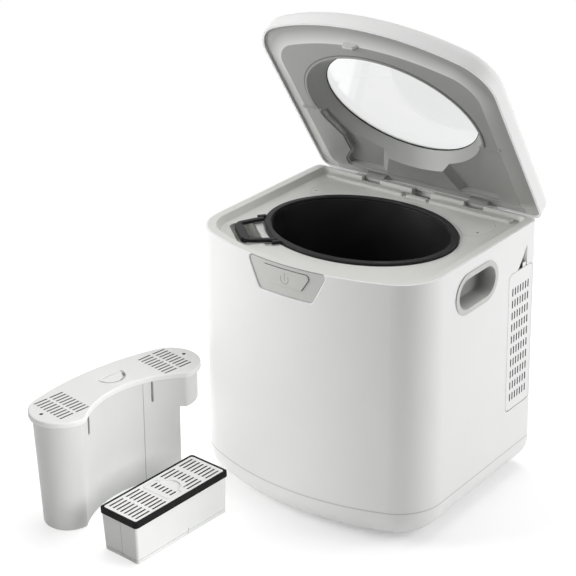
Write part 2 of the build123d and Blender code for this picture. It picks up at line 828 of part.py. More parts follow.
hub_bottom_z = bucket_bottom_z + bucket_wall + seal_thickness + joint_gap
coupling_top_z = well_bottom_z + coupling_height
with BuildPart() as stirrer:
    with BuildSketch(Plane.XY.offset(hub_bottom_z)):
        Circle(hub_radius)
    extrude(amount=hub_height, taper=6)
    fillet(stirrer.faces().sort_by(Axis.Z)[-1].edges(), 5)
    with BuildSketch(Plane.XY.offset(bucket_bottom_z - 1)):
        Circle(shaft_radius)
    extrude(amount=hub_bottom_z - bucket_bottom_z + 1)
    with BuildSketch(Plane.XY.offset(coupling_top_z - coupling_slot_depth + joint_gap)):
        Circle(shaft_radius)
        Rectangle(2 * shaft_radius + 2, shaft_flats, mode=Mode.INTERSECT)
    extrude(amount=bucket_bottom_z - coupling_top_z + coupling_slot_depth - joint_gap)
    # three bent paddles, each one higher up the hub than the last
    for turn, lift in ((0, 0), (120, 7), (240, 14)):
        heading = Plane.XY.rotated((0, 0, turn)).offset(hub_bottom_z + blade_floor_gap + lift)
        with BuildSketch(heading):
            with BuildLine():
                ThreePointArc((6, 0), (blade_reach / 2, 7), (blade_reach, 0))
                offset(amount=blade_thickness / 2)
            make_face()
        extrude(amount=blade_height - lift / 4)
stirrer.part.label = "stirrer"
export_step(stirrer.part, "parts/stirrer.step")

# ================================================================ well, heater and drive under the bucket
well_top_z = deck_under_z

with BuildPart() as bucket_well:
    with BuildSketch(Plane.XY.offset(well_bottom_z)):
        add(oval(-bucket_mouth - bucket_draw_in + well_gap))
    with BuildSketch(Plane.XY.offset(well_top_z)):
        add(oval(-bucket_mouth + well_gap))
    loft()
    with BuildSketch(Plane.XY.offset(well_top_z - well_flange_thickness)):
        add(oval(3))
    extrude(amount=well_flange_thickness)
    with BuildSketch(Plane.XY.offset(well_bottom_z + well_wall)):
        add(oval(-bucket_mouth - bucket_draw_in + well_gap - well_wall))
    with BuildSketch(Plane.XY.offset(well_top_z + 0.01)):
        add(oval(-bucket_mouth + well_gap - well_wall))
    loft(mode=Mode.SUBTRACT)
    with BuildSketch(Plane.XY.offset(well_bottom_z - 1)):
        Circle(coupling_radius + 4)
    extrude(amount=well_wall + 2, mode=Mode.SUBTRACT)
bucket_well.part.label = "bucket_well"
export_step(bucket_well.part, "parts/bucket_well.step")

with BuildPart() as heater_plate:
    with BuildSketch(Plane.XY.offset(well_bottom_z - heater_thickness)):
        add(oval(-bucket_mouth - bucket_draw_in - 4))
        Circle(coupling_radius + 8, mode=Mode.SUBTRACT)
    extrude(amount=heater_thickness)
heater_plate.part.label = "heater_plate"
export_step(heater_plate.part, "parts/heater_plate.step")

gearbox_top_z = well_bottom_z - heater_thickness - 4

with BuildPart() as drive_shaft:
    with BuildSketch(Plane.XY.offset(gearbox_top_z - gearbox_height + 4)):
        Circle(shaft_radius)
    extrude(amount=gearbox_height + 7)
    with BuildSketch(Plane.XY.offset(well_bottom_z - 2)):
        Circle(coupling_radius)
    extrude(amount=coupling_height + 2)
    # slot that the flats of the stirrer's shaft drop into
    with BuildSketch(Plane.XY.offset(coupling_top_z - coupling_slot_depth)):
        Rectangle(2 * coupling_radius + 2, shaft_flats + 2 * fit_gap)
    extrude(amount=coupling_slot_depth + 1, mode=Mode.SUBTRACT)
drive_shaft.part.label = "drive_shaft"
export_step(drive_shaft.part, "parts/drive_shaft.step")

with BuildPart() as gearbox:
    with BuildSketch(Plane.XY.offset(gearbox_top_z - gearbox_height)):
        RectangleRounded(gearbox_size, gearbox_size, 12)
    extrude(amount=gearbox_height)
    fillet(gearbox.faces().sort_by(Axis.Z)[-1].edges(), 2)
    with BuildSketch(Plane.XY.offset(gearbox_top_z - gearbox_height + 4 - fit_gap)):
        Circle(shaft_radius + shaft_gap)
    extrude(amount=gearbox_height, mode=Mode.SUBTRACT)
gearbox.part.label = "gearbox"
export_step(gearbox.part, "parts/gearbox.step")

with BuildPart() as drive_motor:
    with BuildSketch(Plane.XY.offset(gearbox_top_z - gearbox_height - motor_height)):
        Circle(motor_radius)
    extrude(amount=motor_height)
    fillet(drive_motor.faces().sort_by(Axis.Z)[0].edges(), 4)
drive_motor.part.label = "drive_motor"
export_step(drive_motor.part, "parts/drive_motor.step")

with BuildPart() as motor_posts:
    for x in (-gearbox_size / 2 + 8, gearbox_size / 2 - 8):
        for y in (-gearbox_size / 2 + 8, gearbox_size / 2 - 8):
            with BuildSketch(Plane.XY.offset(pan_floor_z)):
                with Locations((x, y)):
                    Circle(5)
            extrude(amount=gearbox_top_z - gearbox_height - pan_floor_z)
motor_posts.part.label = "motor_posts"
export_step(motor_posts.part, "parts/motor_posts.step")

# ================================================================ blower, board and inlet
blower_x = 30.0
blower_y = 82.0
blower_z = 98.0
blower_radius = 40.0
blower_depth = 30.0
blower_wall = 2.0
blower_eye_radius = 20.0
fan_radius = 31.0
duct_width = 26.0
blower_front = Plane(
    origin=(blower_x, blower_y + blower_depth / 2, blower_z),
    x_dir=(1, 0, 0),
    z_dir=(0, -1, 0),
)

with BuildPart() as blower_housing:
    with BuildSketch(blower_front):
        Circle(blower_radius)
        with Locations((blower_radius - duct_width / 2, (filter_bay_floor_z - blower_z) / 2 - 1)):
            Rectangle(duct_width, filter_bay_floor_z - blower_z - 2)
        with Locations((0, -(blower_z - pan_floor_z) / 2)):
            Rectangle(16, blower_z - pan_floor_z)
    extrude(amount=blower_depth)
    with BuildSketch(blower_front.offset(blower_wall)):
        Circle(blower_radius - blower_wall)
        with Locations((blower_radius - duct_width / 2, (filter_bay_floor_z - blower_z) / 2)):
            Rectangle(duct_width - 2 * blower_wall, filter_bay_floor_z - blower_z)
    extrude(amount=blower_depth - 2 * blower_wall, mode=Mode.SUBTRACT)
    with BuildSketch(blower_front):
        Circle(blower_eye_radius)
    extrude(amount=blower_wall, mode=Mode.SUBTRACT)
    with BuildSketch(blower_front.offset(blower_depth - blower_wall)):
        Circle(2 + shaft_gap)
    extrude(amount=blower_wall, mode=Mode.SUBTRACT)
blower_housing.part.label = "blower_housing"
export_step(blower_housing.part, "parts/blower_housing.step")

with BuildPart() as fan_wheel:
    with BuildSketch(blower_front.offset(blower_depth - blower_wall - 4)):
        Circle(fan_radius)
    extrude(amount=2)
    with BuildSketch(blower_front.offset(blower_wall + 3)):
        with PolarLocations(fan_radius - 6, 15, rotate=True):
            Rectangle(10, 1.6, rotation=28)
        Circle(8)
    extrude(amount=blower_depth - 2 * blower_wall - 6)
    with BuildSketch(blower_front.offset(blower_depth - 6)):
        Circle(2)
    extrude(amount=8)
fan_wheel.part.label = "fan_wheel"
export_step(fan_wheel.part, "parts/fan_wheel.step")

board_x = -66.0
board_z = 13.0
with BuildPart() as control_board:
    with BuildSketch(Plane.XY.offset(board_z)):
        with Locations((board_x, -6)):
            Rectangle(42, 100)
    extrude(amount=1.6)
    with BuildSketch(Plane.XY.offset(pan_floor_z)):
        with Locations((board_x, -6)):
            with GridLocations(34, 92, 2, 2):
                Circle(2.6)
    extrude(amount=board_z - pan_floor_z)
    with BuildSketch(Plane.XY.offset(board_z + 1.6)):
        with Locations((board_x - 8, -36), (board_x + 9, -34)):
            Rectangle(13, 18)
    extrude(amount=14)
    with BuildSketch(Plane.XY.offset(board_z + 1.6)):
        with Locations((board_x - 9, 18), (board_x + 9, 22)):
            Circle(6.5)
    extrude(amount=17)
    with BuildSketch(Plane.XY.offset(board_z + 1.6)):
        with Locations((board_x, -8)):
            Rectangle(16, 16)
    extrude(amount=2)
control_board.part.label = "control_board"
export_step(control_board.part, "parts/control_board.step")

inlet_flange_y = back_y - body_inset_at(inlet_z - inlet_height / 2 - 3)
inlet_plane = Plane(origin=(inlet_x, inlet_flange_y, inlet_z), x_dir=(-1, 0, 0), z_dir=(0, 1, 0))
with BuildPart() as power_inlet:
    with BuildSketch(inlet_plane.offset(0.1)):
        RectangleRounded(inlet_width + 5, inlet_height + 5, 2.5)
    extrude(amount=1.8)
    with BuildSketch(inlet_plane.offset(-24)):
        Rectangle(inlet_width - 2 * fit_gap, inlet_height - 2 * fit_gap)
    extrude(amount=24.2)
    with BuildSketch(inlet_plane.offset(-16)):
        with BuildLine():
            Polyline((-11, -7.5), (11, -7.5), (11, 3.5), (7, 7.5), (-7, 7.5), (-11, 3.5), close=True)
        make_face()
    extrude(amount=20, mode=Mode.SUBTRACT)
    with BuildSketch(inlet_plane.offset(-16.5)):
        with Locations((-6.5, -2), (6.5, -2), (0, 3)):
            Rectangle(2, 4.2)
    extrude(amount=12)
power_inlet.part.label = "power_inlet"
export_step(power_inlet.part, "parts/power_inlet.step")

# ================================================================ filter bay and cover behind the bucket
def bay_outline(grow, limit):
    """The filter opening's outline, kept to the left of x = limit."""
    with BuildSketch(mode=Mode.PRIVATE) as shape:
        add(cover_outline(grow))
        with Locations((limit - 200, 80)):
            Rectangle(400, 120, mode=Mode.INTERSECT)
    return shape.sketch


with BuildPart() as filter_bay:
    with BuildSketch(Plane.XY.offset(filter_bay_floor_z)):
        add(bay_outline(filter_bay_wall - cover_ledge, filter_bay_step_x))
    extrude(amount=deck_under_z - filter_bay_floor_z)
    with BuildSketch(Plane.XY.offset(filter_bay_step_z)):
        add(cover_outline(filter_bay_wall - cover_ledge))
    extrude(amount=deck_under_z - filter_bay_step_z)
    with BuildSketch(Plane.XY.offset(deck_under_z - 2)):
        add(cover_outline(0.5))
    extrude(amount=2)
    with BuildSketch(Plane.XY.offset(filter_bay_floor_z + filter_bay_wall)):
        add(bay_outline(-cover_ledge, filter_bay_step_x - filter_bay_wall))
    extrude(amount=deck_under_z - filter_bay_floor_z, mode=Mode.SUBTRACT)
    with BuildSketch(Plane.XY.offset(filter_bay_step_z + filter_bay_wall)):
        add(cover_outline(-cover_ledge))
    extrude(amount=deck_under_z - filter_bay_step_z, mode=Mode.SUBTRACT)
    with BuildSketch(Plane.XY.offset(filter_bay_floor_z - 1)):
        with Locations((blower_x + blower_radius - duct_width / 2 - 4, blower_y)):
            Rectangle(duct_width - 12, blower_depth - 6)
    extrude(amount=4, mode=Mode.SUBTRACT)
filter_bay.part.label = "filter_bay"
export_step(filter_bay.part, "parts/filter_bay.step")

with BuildPart() as filter_cover:
    with BuildSketch(Plane.XY.offset(deck_floor_z - cover_thickness)):
        add(cover_outline(0))
    extrude(amount=cover_thickness)
    with BuildSketch(Plane.XY.offset(deck_floor_z - 0.8)):
        with Locations((-cover_half_length + 9, 66), (cover_half_length - 9, 66)):
            Circle(cover_dot_radius)
        with Locations((0, cover_back_y - 5)):
            SlotOverall(30, 3)
    extrude(amount=1, mode=Mode.SUBTRACT)
filter_cover.part.label = "filter_cover"
export_step(filter_cover.part, "parts/filter_cover.step")

# ================================================================ vent bay and vent door in the right side
bay_mouth_x = half_width - shell_wall - body_inset_at(door_top_z) - fit_gap
with BuildPart() as vent_bay:
    with BuildSketch(Plane.YZ.offset(bay_mouth_x - bay_depth)):
        with Locations((door_y, door_z - 2)):
            Rectangle(door_width, door_height - 8)
    extrude(amount=bay_depth)
    with BuildSketch(Plane.YZ.offset(bay_mouth_x - bay_depth + bay_wall)):
        with Locations((door_y, door_z - 2)):
            Rectangle(door_width - 2 * bay_wall, door_height - 8 - 2 * bay_wall)
    extrude(amount=bay_depth, mode=Mode.SUBTRACT)
    # two legs down to the base pan
    with BuildSketch(Plane.XY.offset(pan_floor_z)):
        with Locations((bay_mouth_x - bay_depth + 4, door_y - 15), (bay_mouth_x - bay_depth + 4, door_y + 5)):
            Rectangle(8, 5)
    extrude(amount=door_bottom_z - pan_floor_z + 2)
vent_bay.part.label = "vent_bay"
export_step(vent_bay.part, "parts/vent_bay.step")

with BuildPart() as vent_door:
    with BuildSketch(Plane.YZ.offset(half_width - 12)):
        with Locations((door_y, door_z)):
            RectangleRounded(door_width, door_height, door_corner_radius)
        with Locations((door_y, door_hinge_z + door_pin_radius - 50)):
            Rectangle(door_width + 2, 100, mode=Mode.SUBTRACT)
    extrude(amount=30)
    with BuildPart(mode=Mode.PRIVATE) as wall_band:
        add(wall_block(0))
        add(wall_block(door_thickness), mode=Mode.SUBTRACT)
    add(wall_band.part, mode=Mode.INTERSECT)
    with BuildSketch(Plane.YZ.offset(half_width - 12)):
        with Locations((door_y, door_z - 3)):
            with GridLocations(
                door_slot_column_pitch, door_slot_row_pitch, door_slot_columns, door_slot_rows
            ):
                SlotOverall(door_slot_height, door_slot_width, rotation=90)
    extrude(amount=30, mode=Mode.SUBTRACT)
    # rolled bottom edge with its pivot pins
    with BuildSketch(Plane.XZ.offset(-door_y - door_barrel_half)):
        with Locations((door_hinge_x, door_hinge_z)):
            Circle(door_thickness / 2)
    extrude(amount=2 * door_barrel_half)
    with BuildSketch(Plane.XZ.offset(-door_y - door_pin_half)):
        with Locations((door_hinge_x, door_hinge_z)):
            Circle(door_pin_radius)
    extrude(amount=2 * door_pin_half)
    # latch tongue that stands up in the deep side of the scoop
    with BuildSketch(Plane.XY.offset(door_top_z - 4)):
        with Locations((scoop_x - latch_thickness / 2 - 0.5, door_y + 7.5)):
            Rectangle(latch_thickness, latch_width)
    extrude(amount=latch_height + 4)
vent_door.part.label = "vent_door"
export_step(vent_door.part, "parts/vent_door.step")

# ================================================================ lid, drawn closed on a turned frame
lid_swing = Rotation(-lid_open_angle, 0, 0)
lid_turn = Location((0, hinge_y, hinge_z)) * lid_swing * Location((0, -hinge_y, -hinge_z))
lid_frame = Plane(lid_turn)
lid_up = Axis(lid_frame.origin, lid_frame.z_dir)
lid_bottom_z = rim_z + lid_gap
lid_top_z = lid_bottom_z + lid_height
glass_z = lid_bottom_z + glass_rise
edge_z = lid_bottom_z + liner_edge_rise
panel_z = lid_bottom_z - liner_drop
lid_side = Plane(lid_turn * Plane.YZ.location)


def window(grow):
    """The lid's oval window, grown by grow all round."""
    with BuildSketch(mode=Mode.PRIVATE) as shape:
        with Locations((0, window_y)):
            Ellipse(window_half_x + grow, window_half_y + grow)
    return shape.sketch


def panel_plan(inset):
    """Outline of the liner's dropped panel."""
    return d_outline(
        half_width - liner_side_run - inset,
        front_y + liner_front_run + inset,
        back_y + lid_overhang - liner_rear_run - inset,
        front_bow_radius - liner_front_run,
        front_corner_radius - liner_side_run + 5,
        12,
    )


def lip_plan(inset):
    """Outline of the liner's flat lip, from which it slopes down to the panel."""
    return d_outline(
        half_width - liner_lip - inset,
        front_y + liner_lip + inset,
        back_y + lid_overhang - liner_rear_lip - inset,
        front_bow_radius - liner_lip,
        front_corner_radius - liner_lip,
        12,
    )


def duct_outline(grow):
    """Contour of the air duct sunk into the liner round the hinge half of the window."""
    with BuildSketch(mode=Mode.PRIVATE) as shape:
        with BuildLine():
            Polyline(
                (-110, 18), (-106, 32), (-91, 58), (-90, 84), (-103, 101), (-105, 115),
                (105, 115), (103, 101), (90, 84), (91, 58), (106, 32), (110, 18), close=True,
            )
        make_face()
        fillet(shape.vertices(), 5)
        if grow:
            offset(amount=grow)
    return shape.sketch


with BuildPart() as lid_shell:
    with BuildSketch(lid_frame.offset(lid_bottom_z)):
        add(lid_plan(0))
    extrude(amount=lid_height)
    fillet(lid_shell.faces().sort_by(lid_up)[-1].edges(), lid_edge_round)
    with BuildPart(mode=Mode.SUBTRACT) as hollow:
        with BuildSketch(lid_frame.offset(lid_bottom_z)):
            add(lid_plan(lid_wall))
        extrude(amount=lid_height - lid_wall)
        fillet(hollow.faces().sort_by(lid_up)[-1].edges(), lid_edge_round - lid_wall)
    # frame that the glass is bonded under
    with BuildSketch(lid_frame.offset(glass_z + glass_thickness)):
        add(window(window_rebate + 2))
    extrude(amount=lid_top_z - lid_wall / 2 - glass_z - glass_thickness)
    with BuildSketch(lid_frame.offset(glass_z + glass_thickness)):
        add(window(0))
    with BuildSketch(lid_frame.offset(lid_top_z)):
        add(window(window_rebate))
    loft(mode=Mode.SUBTRACT)
lid_shell.part.label = "lid_shell"
export_step(lid_shell.part, "parts/lid_shell.step")

with BuildPart() as window_pane:
    with BuildSketch(lid_frame.offset(glass_z)):
        add(window(window_rebate))
    extrude(amount=glass_thickness)
window_pane.part.label = "window_pane"
export_step(window_pane.part, "parts/window_pane.step")

with BuildPart() as window_gasket:
    with BuildSketch(lid_frame.offset(glass_z - gasket_height)):
        add(ring(window(gasket_width), window(-0.6)))
    extrude(amount=gasket_height)
window_gasket.part.label = "window_gasket"
export_step(window_gasket.part, "parts/window_gasket.step")

with BuildPart() as lid_liner:
    with BuildSketch(lid_frame.offset(edge_z)):
        add(lid_plan(lid_wall + 0.1))
    extrude(amount=liner_wall)
    with BuildSketch(lid_frame.offset(panel_z)):
        add(panel_plan(0))
    with BuildSketch(lid_frame.offset(edge_z)):
        add(lip_plan(0))
    loft()
    with BuildSketch(lid_frame.offset(panel_z + liner_wall)):
        add(panel_plan(liner_wall))
    with BuildSketch(lid_frame.offset(edge_z + liner_wall)):
        add(lip_plan(liner_wall))
    loft(mode=Mode.SUBTRACT)
    # funnel up to the glass, with the air duct sunk round its hinge half
    with BuildSketch(lid_frame.offset(panel_z)):
        add(window(bead_offset + tunnel_wall))
    with BuildSketch(lid_frame.offset(glass_z - gasket_height)):
        add(window(tunnel_wall))
    loft()
    with BuildSketch(lid_frame.offset(panel_z)):
        add(duct_outline(liner_wall))
    extrude(amount=duct_depth + liner_wall)
    with BuildSketch(lid_frame.offset(panel_z)):
        add(duct_outline(0))
    extrude(amount=duct_step, mode=Mode.SUBTRACT)
    with BuildSketch(lid_frame.offset(panel_z)):
        add(duct_outline(-duct_step_width))
    extrude(amount=duct_depth, mode=Mode.SUBTRACT)
    # saddle that stands in the middle of the duct
    with BuildSketch(lid_frame.offset(panel_z + duct_depth)):
        Polygon(
            (-duct_block_half - duct_depth, duct_block_front - duct_depth),
            (duct_block_half + duct_depth, duct_block_front - duct_depth),
            (duct_block_half + 22, 114),
            (-duct_block_half - 22, 114),
            align=None,
        )
    with BuildSketch(lid_frame.offset(panel_z)):
        Polygon(
            (-duct_block_half, duct_block_front + 2),
            (duct_block_half, duct_block_front + 2),
            (duct_block_half + 14, 114),
            (-duct_block_half - 14, 114),
            align=None,
        )
    loft()
    with BuildSketch(lid_frame.offset(panel_z)):
        add(window(bead_offset))
    with BuildSketch(lid_frame.offset(glass_z - gasket_height)):
        add(window(0))
    loft(mode=Mode.SUBTRACT)
    # bead round the front half of the window and the two cross ribs
    with BuildSketch(lid_frame.offset(panel_z)):
        add(ring(window(bead_offset + bead_width), window(bead_offset)))
        with Locations((0, 20 + 60)):
            Rectangle(300, 120, mode=Mode.SUBTRACT)
    extrude(amount=-bead_height)
    with BuildSketch(lid_frame.offset(panel_z - rib_height)):
        with Locations((-118, 17), (118, 17)):
            SlotOverall(26, 3.2)
    extrude(amount=rib_height + liner_wall)
    # latch tongue with its V notch at the front
    with BuildSketch(lid_frame.offset(panel_z - latch_drop)):
        with Locations((-14, front_y + liner_front_run - 1)):
            Rectangle(17, 5)
    extrude(amount=edge_z - panel_z + latch_drop)
    with BuildSketch(Plane(lid_turn * Plane.XZ.offset(-front_y).location)):
        Polygon((-10, panel_z - latch_drop), (-6, panel_z - 0.5), (-2, panel_z - latch_drop), align=None)
    extrude(amount=-40, mode=Mode.SUBTRACT)
    # hinge arms ending in knuckles
    for x in (-knuckle_x, knuckle_x):
        with BuildSketch(lid_side.offset(x - knuckle_length / 2)):
            with Locations((hinge_y, hinge_z)):
                Circle(knuckle_radius)
            with Locations((hinge_y, (hinge_z + edge_z + 1) / 2)):
                Rectangle(2 * knuckle_radius, edge_z + 1 - hinge_z)
        extrude(amount=knuckle_length)
    with BuildSketch(lid_side.offset(-knuckle_x - knuckle_length)):
        with Locations((hinge_y, hinge_z)):
            Circle(hinge_pin_radius + shaft_gap)
    extrude(amount=2 * (knuckle_x + knuckle_length), mode=Mode.SUBTRACT)
lid_liner.part.label = "lid_liner"
export_step(lid_liner.part, "parts/lid_liner.step")

# ================================================================ large filter cartridge
large_frame = Plane(
    origin=(large_x, large_y, 0),
    x_dir=(cos(radians(large_angle)), sin(radians(large_angle)), 0),
    z_dir=(0, 0, 1),
)
large_flange_z = large_height - large_flange_thickness
flap_hinge_z = large_height - flap_hinge_drop


def large_outline(inset):
    """Peanut outline of the large cartridge: two lobes, bowed back, hollow front."""
    tip_y = -sqrt(lobe_radius**2 - (lobe_x - large_tip_x) ** 2)
    shoulder = (large_shoulder_x, large_shoulder_y)
    tip = (large_tip_x, tip_y)
    far_shoulder = (-large_shoulder_x, large_shoulder_y)
    far_tip = (-large_tip_x, tip_y)
    with BuildSketch(mode=Mode.PRIVATE) as shape:
        with BuildLine():
            ThreePointArc(far_shoulder, (0, large_back_bulge), shoulder)
            ThreePointArc(shoulder, (lobe_x + lobe_radius, 0), tip)
            ThreePointArc(tip, (0, large_waist_y), far_tip)
            ThreePointArc(far_tip, (-lobe_x - lobe_radius, 0), far_shoulder)
        make_face()
        fillet(shape.vertices().group_by(Axis.Y)[0], large_tip_round)
        if inset:
            offset(amount=-inset, kind=Kind.ARC)
    return shape.sketch


def large_block(inset, bottom, top):
    """The cartridge's tapered body below its flange, drawn in by inset, between two heights."""
    slope = large_taper_inset / large_flange_z
    with BuildPart(mode=Mode.PRIVATE) as block:
        with BuildSketch(Plane.XY.offset(bottom)):
            add(large_outline(large_flange_width + inset + slope * (large_flange_z - bottom)))
        with BuildSketch(Plane.XY.offset(top)):
            add(large_outline(large_flange_width + inset + slope * (large_flange_z - top)))
        loft()
    return block.part


def large_underside(start_x, top):
    """Block that clears the space under the short lobe, from start_x outwards and up to top."""
    with BuildPart(mode=Mode.PRIVATE) as space:
        with BuildSketch():
            with Locations((start_x + 100, 0)):
                Rectangle(200, 200)
        extrude(amount=top)
    return space.part


short_lobe_z = large_height - short_lobe_height
groove_face_radius = 108.5

with BuildPart() as large_case:
    add(large_block(0, 0, large_flange_z))
    fillet(large_case.faces().sort_by(Axis.Z)[0].edges(), 2)
    with BuildSketch():
        with Locations((short_lobe_x + 100, 0)):
            Rectangle(200, 200)
    extrude(amount=short_lobe_z, mode=Mode.SUBTRACT)
    lobe_floor = large_case.faces().sort_by_distance((lobe_x + 10, 0, short_lobe_z))[0]
    fillet(lobe_floor.edges().filter_by(lambda edge: edge.center().X > short_lobe_x + 1), short_lobe_round)
    with BuildPart(mode=Mode.SUBTRACT):
        add(large_block(large_wall, large_wall, large_flange_z))
        add(large_underside(short_lobe_x - large_wall, short_lobe_z + large_wall), mode=Mode.SUBTRACT)
    # keying grooves on the hollow front, running down from the flange
    for x, width in ((-56, 4.4), (41, 2.4)):
        face_y = large_waist_y + large_flange_width - groove_face_radius + sqrt(groove_face_radius**2 - x**2)
        with BuildSketch(Plane.XY.offset(large_flange_z - groove_length)):
            with Locations((x, face_y + groove_depth - 10)):
                Rectangle(width, 20)
        extrude(amount=groove_length, mode=Mode.SUBTRACT)
large_case.part = large_frame.location * large_case.part
large_case.part.label = "large_case"
export_step(large_case.part, "parts/large_case.step")


with BuildPart() as large_top:
    with BuildSketch(Plane.XY.offset(large_flange_z)):
        add(large_outline(0))
    extrude(amount=large_flange_thickness)
    fillet(large_top.faces().sort_by(Axis.Z)[-1].edges(), 1.5)
    with BuildSketch(Plane.XY.offset(large_flange_z)):
        for x in (-large_slot_outer_x, -large_slot_inner_x, large_slot_inner_x, large_slot_outer_x):
            with Locations((x, 4)):
                with GridLocations(0, large_slot_pitch, 1, 9):
                    SlotOverall(large_slot_length, large_slot_width)
        add(large_outline(6), mode=Mode.INTERSECT)
        with Locations((-large_dot_x, 4), (large_dot_x, 2)):
            Circle(2.2)
    extrude(amount=large_flange_thickness, mode=Mode.SUBTRACT)
    with BuildSketch(Plane.XY.offset(large_height - flap_recess_depth)):
        with Locations((flap_x, flap_hinge_v)):
            Circle(flap_recess_radius)
        with Locations((flap_x, flap_hinge_v + 2 + 50)):
            Rectangle(100, 100, mode=Mode.SUBTRACT)
    extrude(amount=flap_recess_depth, mode=Mode.SUBTRACT)
    with BuildSketch(Plane.YZ.offset(flap_x - flap_pin_half)):
        with Locations((flap_hinge_v, flap_hinge_z)):
            Circle(flap_pin_radius + shaft_gap)
    extrude(amount=2 * flap_pin_half, mode=Mode.SUBTRACT)
large_top.part = large_frame.location * large_top.part
large_top.part.label = "large_top"
export_step(large_top.part, "parts/large_top.step")

with BuildPart() as large_flap:
    with BuildSketch(Plane.XY.offset(flap_hinge_z - flap_thickness / 2)):
        with Locations((flap_x, flap_hinge_v)):
            Circle(flap_radius)
        with Locations((flap_x, flap_hinge_v + 50)):
            Rectangle(100, 100, mode=Mode.SUBTRACT)
    extrude(amount=flap_thickness)
    with BuildSketch(Plane.YZ.offset(flap_x - flap_radius - 1)):
        with Locations((flap_hinge_v, flap_hinge_z)):
            Circle(flap_thickness / 2 + 0.2)
    extrude(amount=2 * flap_radius + 2)
    with BuildSketch(Plane.YZ.offset(flap_x - flap_pin_half)):
        with Locations((flap_hinge_v, flap_hinge_z)):
            Circle(flap_pin_radius)
    extrude(amount=2 * flap_pin_half)
large_flap.part = large_frame.location * large_flap.part
large_flap.part.label = "large_flap"
export_step(large_flap.part, "parts/large_flap.step")

with BuildPart() as large_carbon:
    add(large_block(large_wall + fit_gap, large_wall, large_flange_z - 1))
    add(large_underside(short_lobe_x - large_wall - fit_gap, short_lobe_z + large_wall), mode=Mode.SUBTRACT)
large_carbon.part = large_frame.location * large_carbon.part
large_carbon.part.label = "large_carbon"
export_step(large_carbon.part, "parts/large_carbon.step")

# ================================================================ small filter cartridge
small_frame = Plane(
    origin=(small_x, small_y, 0),
    x_dir=(cos(radians(small_angle)), sin(radians(small_angle)), 0),
    z_dir=(0, 0, 1),
)
small_rim_z = small_height - small_gasket_height
small_mouth_length = small_length - 2 * small_gasket_width
small_mouth_width = small_width - 2 * small_gasket_width
small_plate_z = small_height - 0.2 - small_grille_thickness
small_plate_length = small_mouth_length - 2 * fit_gap
small_plate_width = small_mouth_width - 2 * fit_gap


def small_box(wall, bottom, top):
    """The small cartridge's tapered body drawn in by wall, between two heights."""
    slope = small_taper / small_rim_z
    with BuildPart(mode=Mode.PRIVATE) as block:
        for z in (bottom, top):
            drawn_in = wall + slope * (small_rim_z - z)
            with BuildSketch(Plane.XY.offset(z)):
                RectangleRounded(
                    small_mouth_length + 2 * small_wall - 2 * drawn_in,
                    small_mouth_width + 2 * small_wall - 2 * drawn_in,
                    small_corner_radius,
                )
        loft()
    return block.part


with BuildPart() as small_case:
    add(small_box(0, 0, small_rim_z))
    add(small_box(small_wall, small_wall, small_rim_z), mode=Mode.SUBTRACT)
    # joint line above the foot and a tick on each long side
    with BuildPart(mode=Mode.SUBTRACT):
        add(small_box(-1, 4, 4.5))
        add(small_box(0.5, 4, 4.5), mode=Mode.SUBTRACT)
    with BuildSketch(Plane.XY):
        with Locations((8, -small_mouth_width / 2 - 1), (8, small_mouth_width / 2 + 1)):
            Rectangle(0.6, 3.4)
    extrude(amount=9, mode=Mode.SUBTRACT)
small_case.part = small_frame.location * small_case.part
small_case.part.label = "small_case"
export_step(small_case.part, "parts/small_case.step")

with BuildPart() as small_gasket:
    with BuildSketch(Plane.XY.offset(small_rim_z)):
        RectangleRounded(small_length, small_width, small_corner_radius + 1)
    extrude(amount=small_gasket_height)
    fillet(small_gasket.faces().sort_by(Axis.Z)[-1].edges(), 0.8)
    with BuildSketch(Plane.XY.offset(small_rim_z)):
        RectangleRounded(small_mouth_length, small_mouth_width, small_corner_radius - 1)
    extrude(amount=small_gasket_height, mode=Mode.SUBTRACT)
small_gasket.part = small_frame.location * small_gasket.part
small_gasket.part.label = "small_gasket"
export_step(small_gasket.part, "parts/small_gasket.step")

with BuildPart() as small_grille:
    with BuildSketch(Plane.XY.offset(small_rim_z - 4)):
        RectangleRounded(small_plate_length, small_plate_width, small_corner_radius)
        Rectangle(small_mouth_length - 4, small_mouth_width - 4, mode=Mode.SUBTRACT)
    extrude(amount=small_plate_z - small_rim_z + 4)
    with BuildSketch(Plane.XY.offset(small_plate_z)):
        RectangleRounded(small_plate_length, small_plate_width, small_corner_radius)
        for x, length, rows in ((-54, 21, 8), (-29, 21, 8), (30, 14, 4), (54, 21, 8)):
            with Locations((x, 0)):
                with GridLocations(0, small_slot_pitch, 1, rows):
                    SlotOverall(length, small_slot_width, mode=Mode.SUBTRACT)
        for y in (-3.5, -2.5, 2.5, 3.5):
            with Locations((25.5, y * small_slot_pitch)):
                SlotOverall(23, small_slot_width, mode=Mode.SUBTRACT)
        with Locations(((small_flap_free + small_flap_back) / 2, 0)):
            Rectangle(
                small_flap_free - small_flap_back + 2 * joint_gap,
                2 * (small_flap_half + joint_gap),
                mode=Mode.SUBTRACT,
            )
    extrude(amount=small_grille_thickness)
    # half-moon for the fingernail in front of the flap's free edge
    with BuildSketch(Plane.XY.offset(small_height - 0.2 - 1.2)):
        with Locations((small_flap_free, 0)):
            Circle(small_moon_radius)
        with Locations((small_flap_free - 50, 0)):
            Rectangle(100, 100, mode=Mode.SUBTRACT)
    extrude(amount=2, mode=Mode.SUBTRACT)
    with BuildSketch(Plane.XZ.offset(-small_flap_half - 2.5)):
        with Locations((small_flap_back + 1.2, small_plate_z + small_grille_thickness / 2)):
            Circle(0.5 + shaft_gap)
    extrude(amount=2 * small_flap_half + 5, mode=Mode.SUBTRACT)
small_grille.part = small_frame.location * small_grille.part
small_grille.part.label = "small_grille"
export_step(small_grille.part, "parts/small_grille.step")

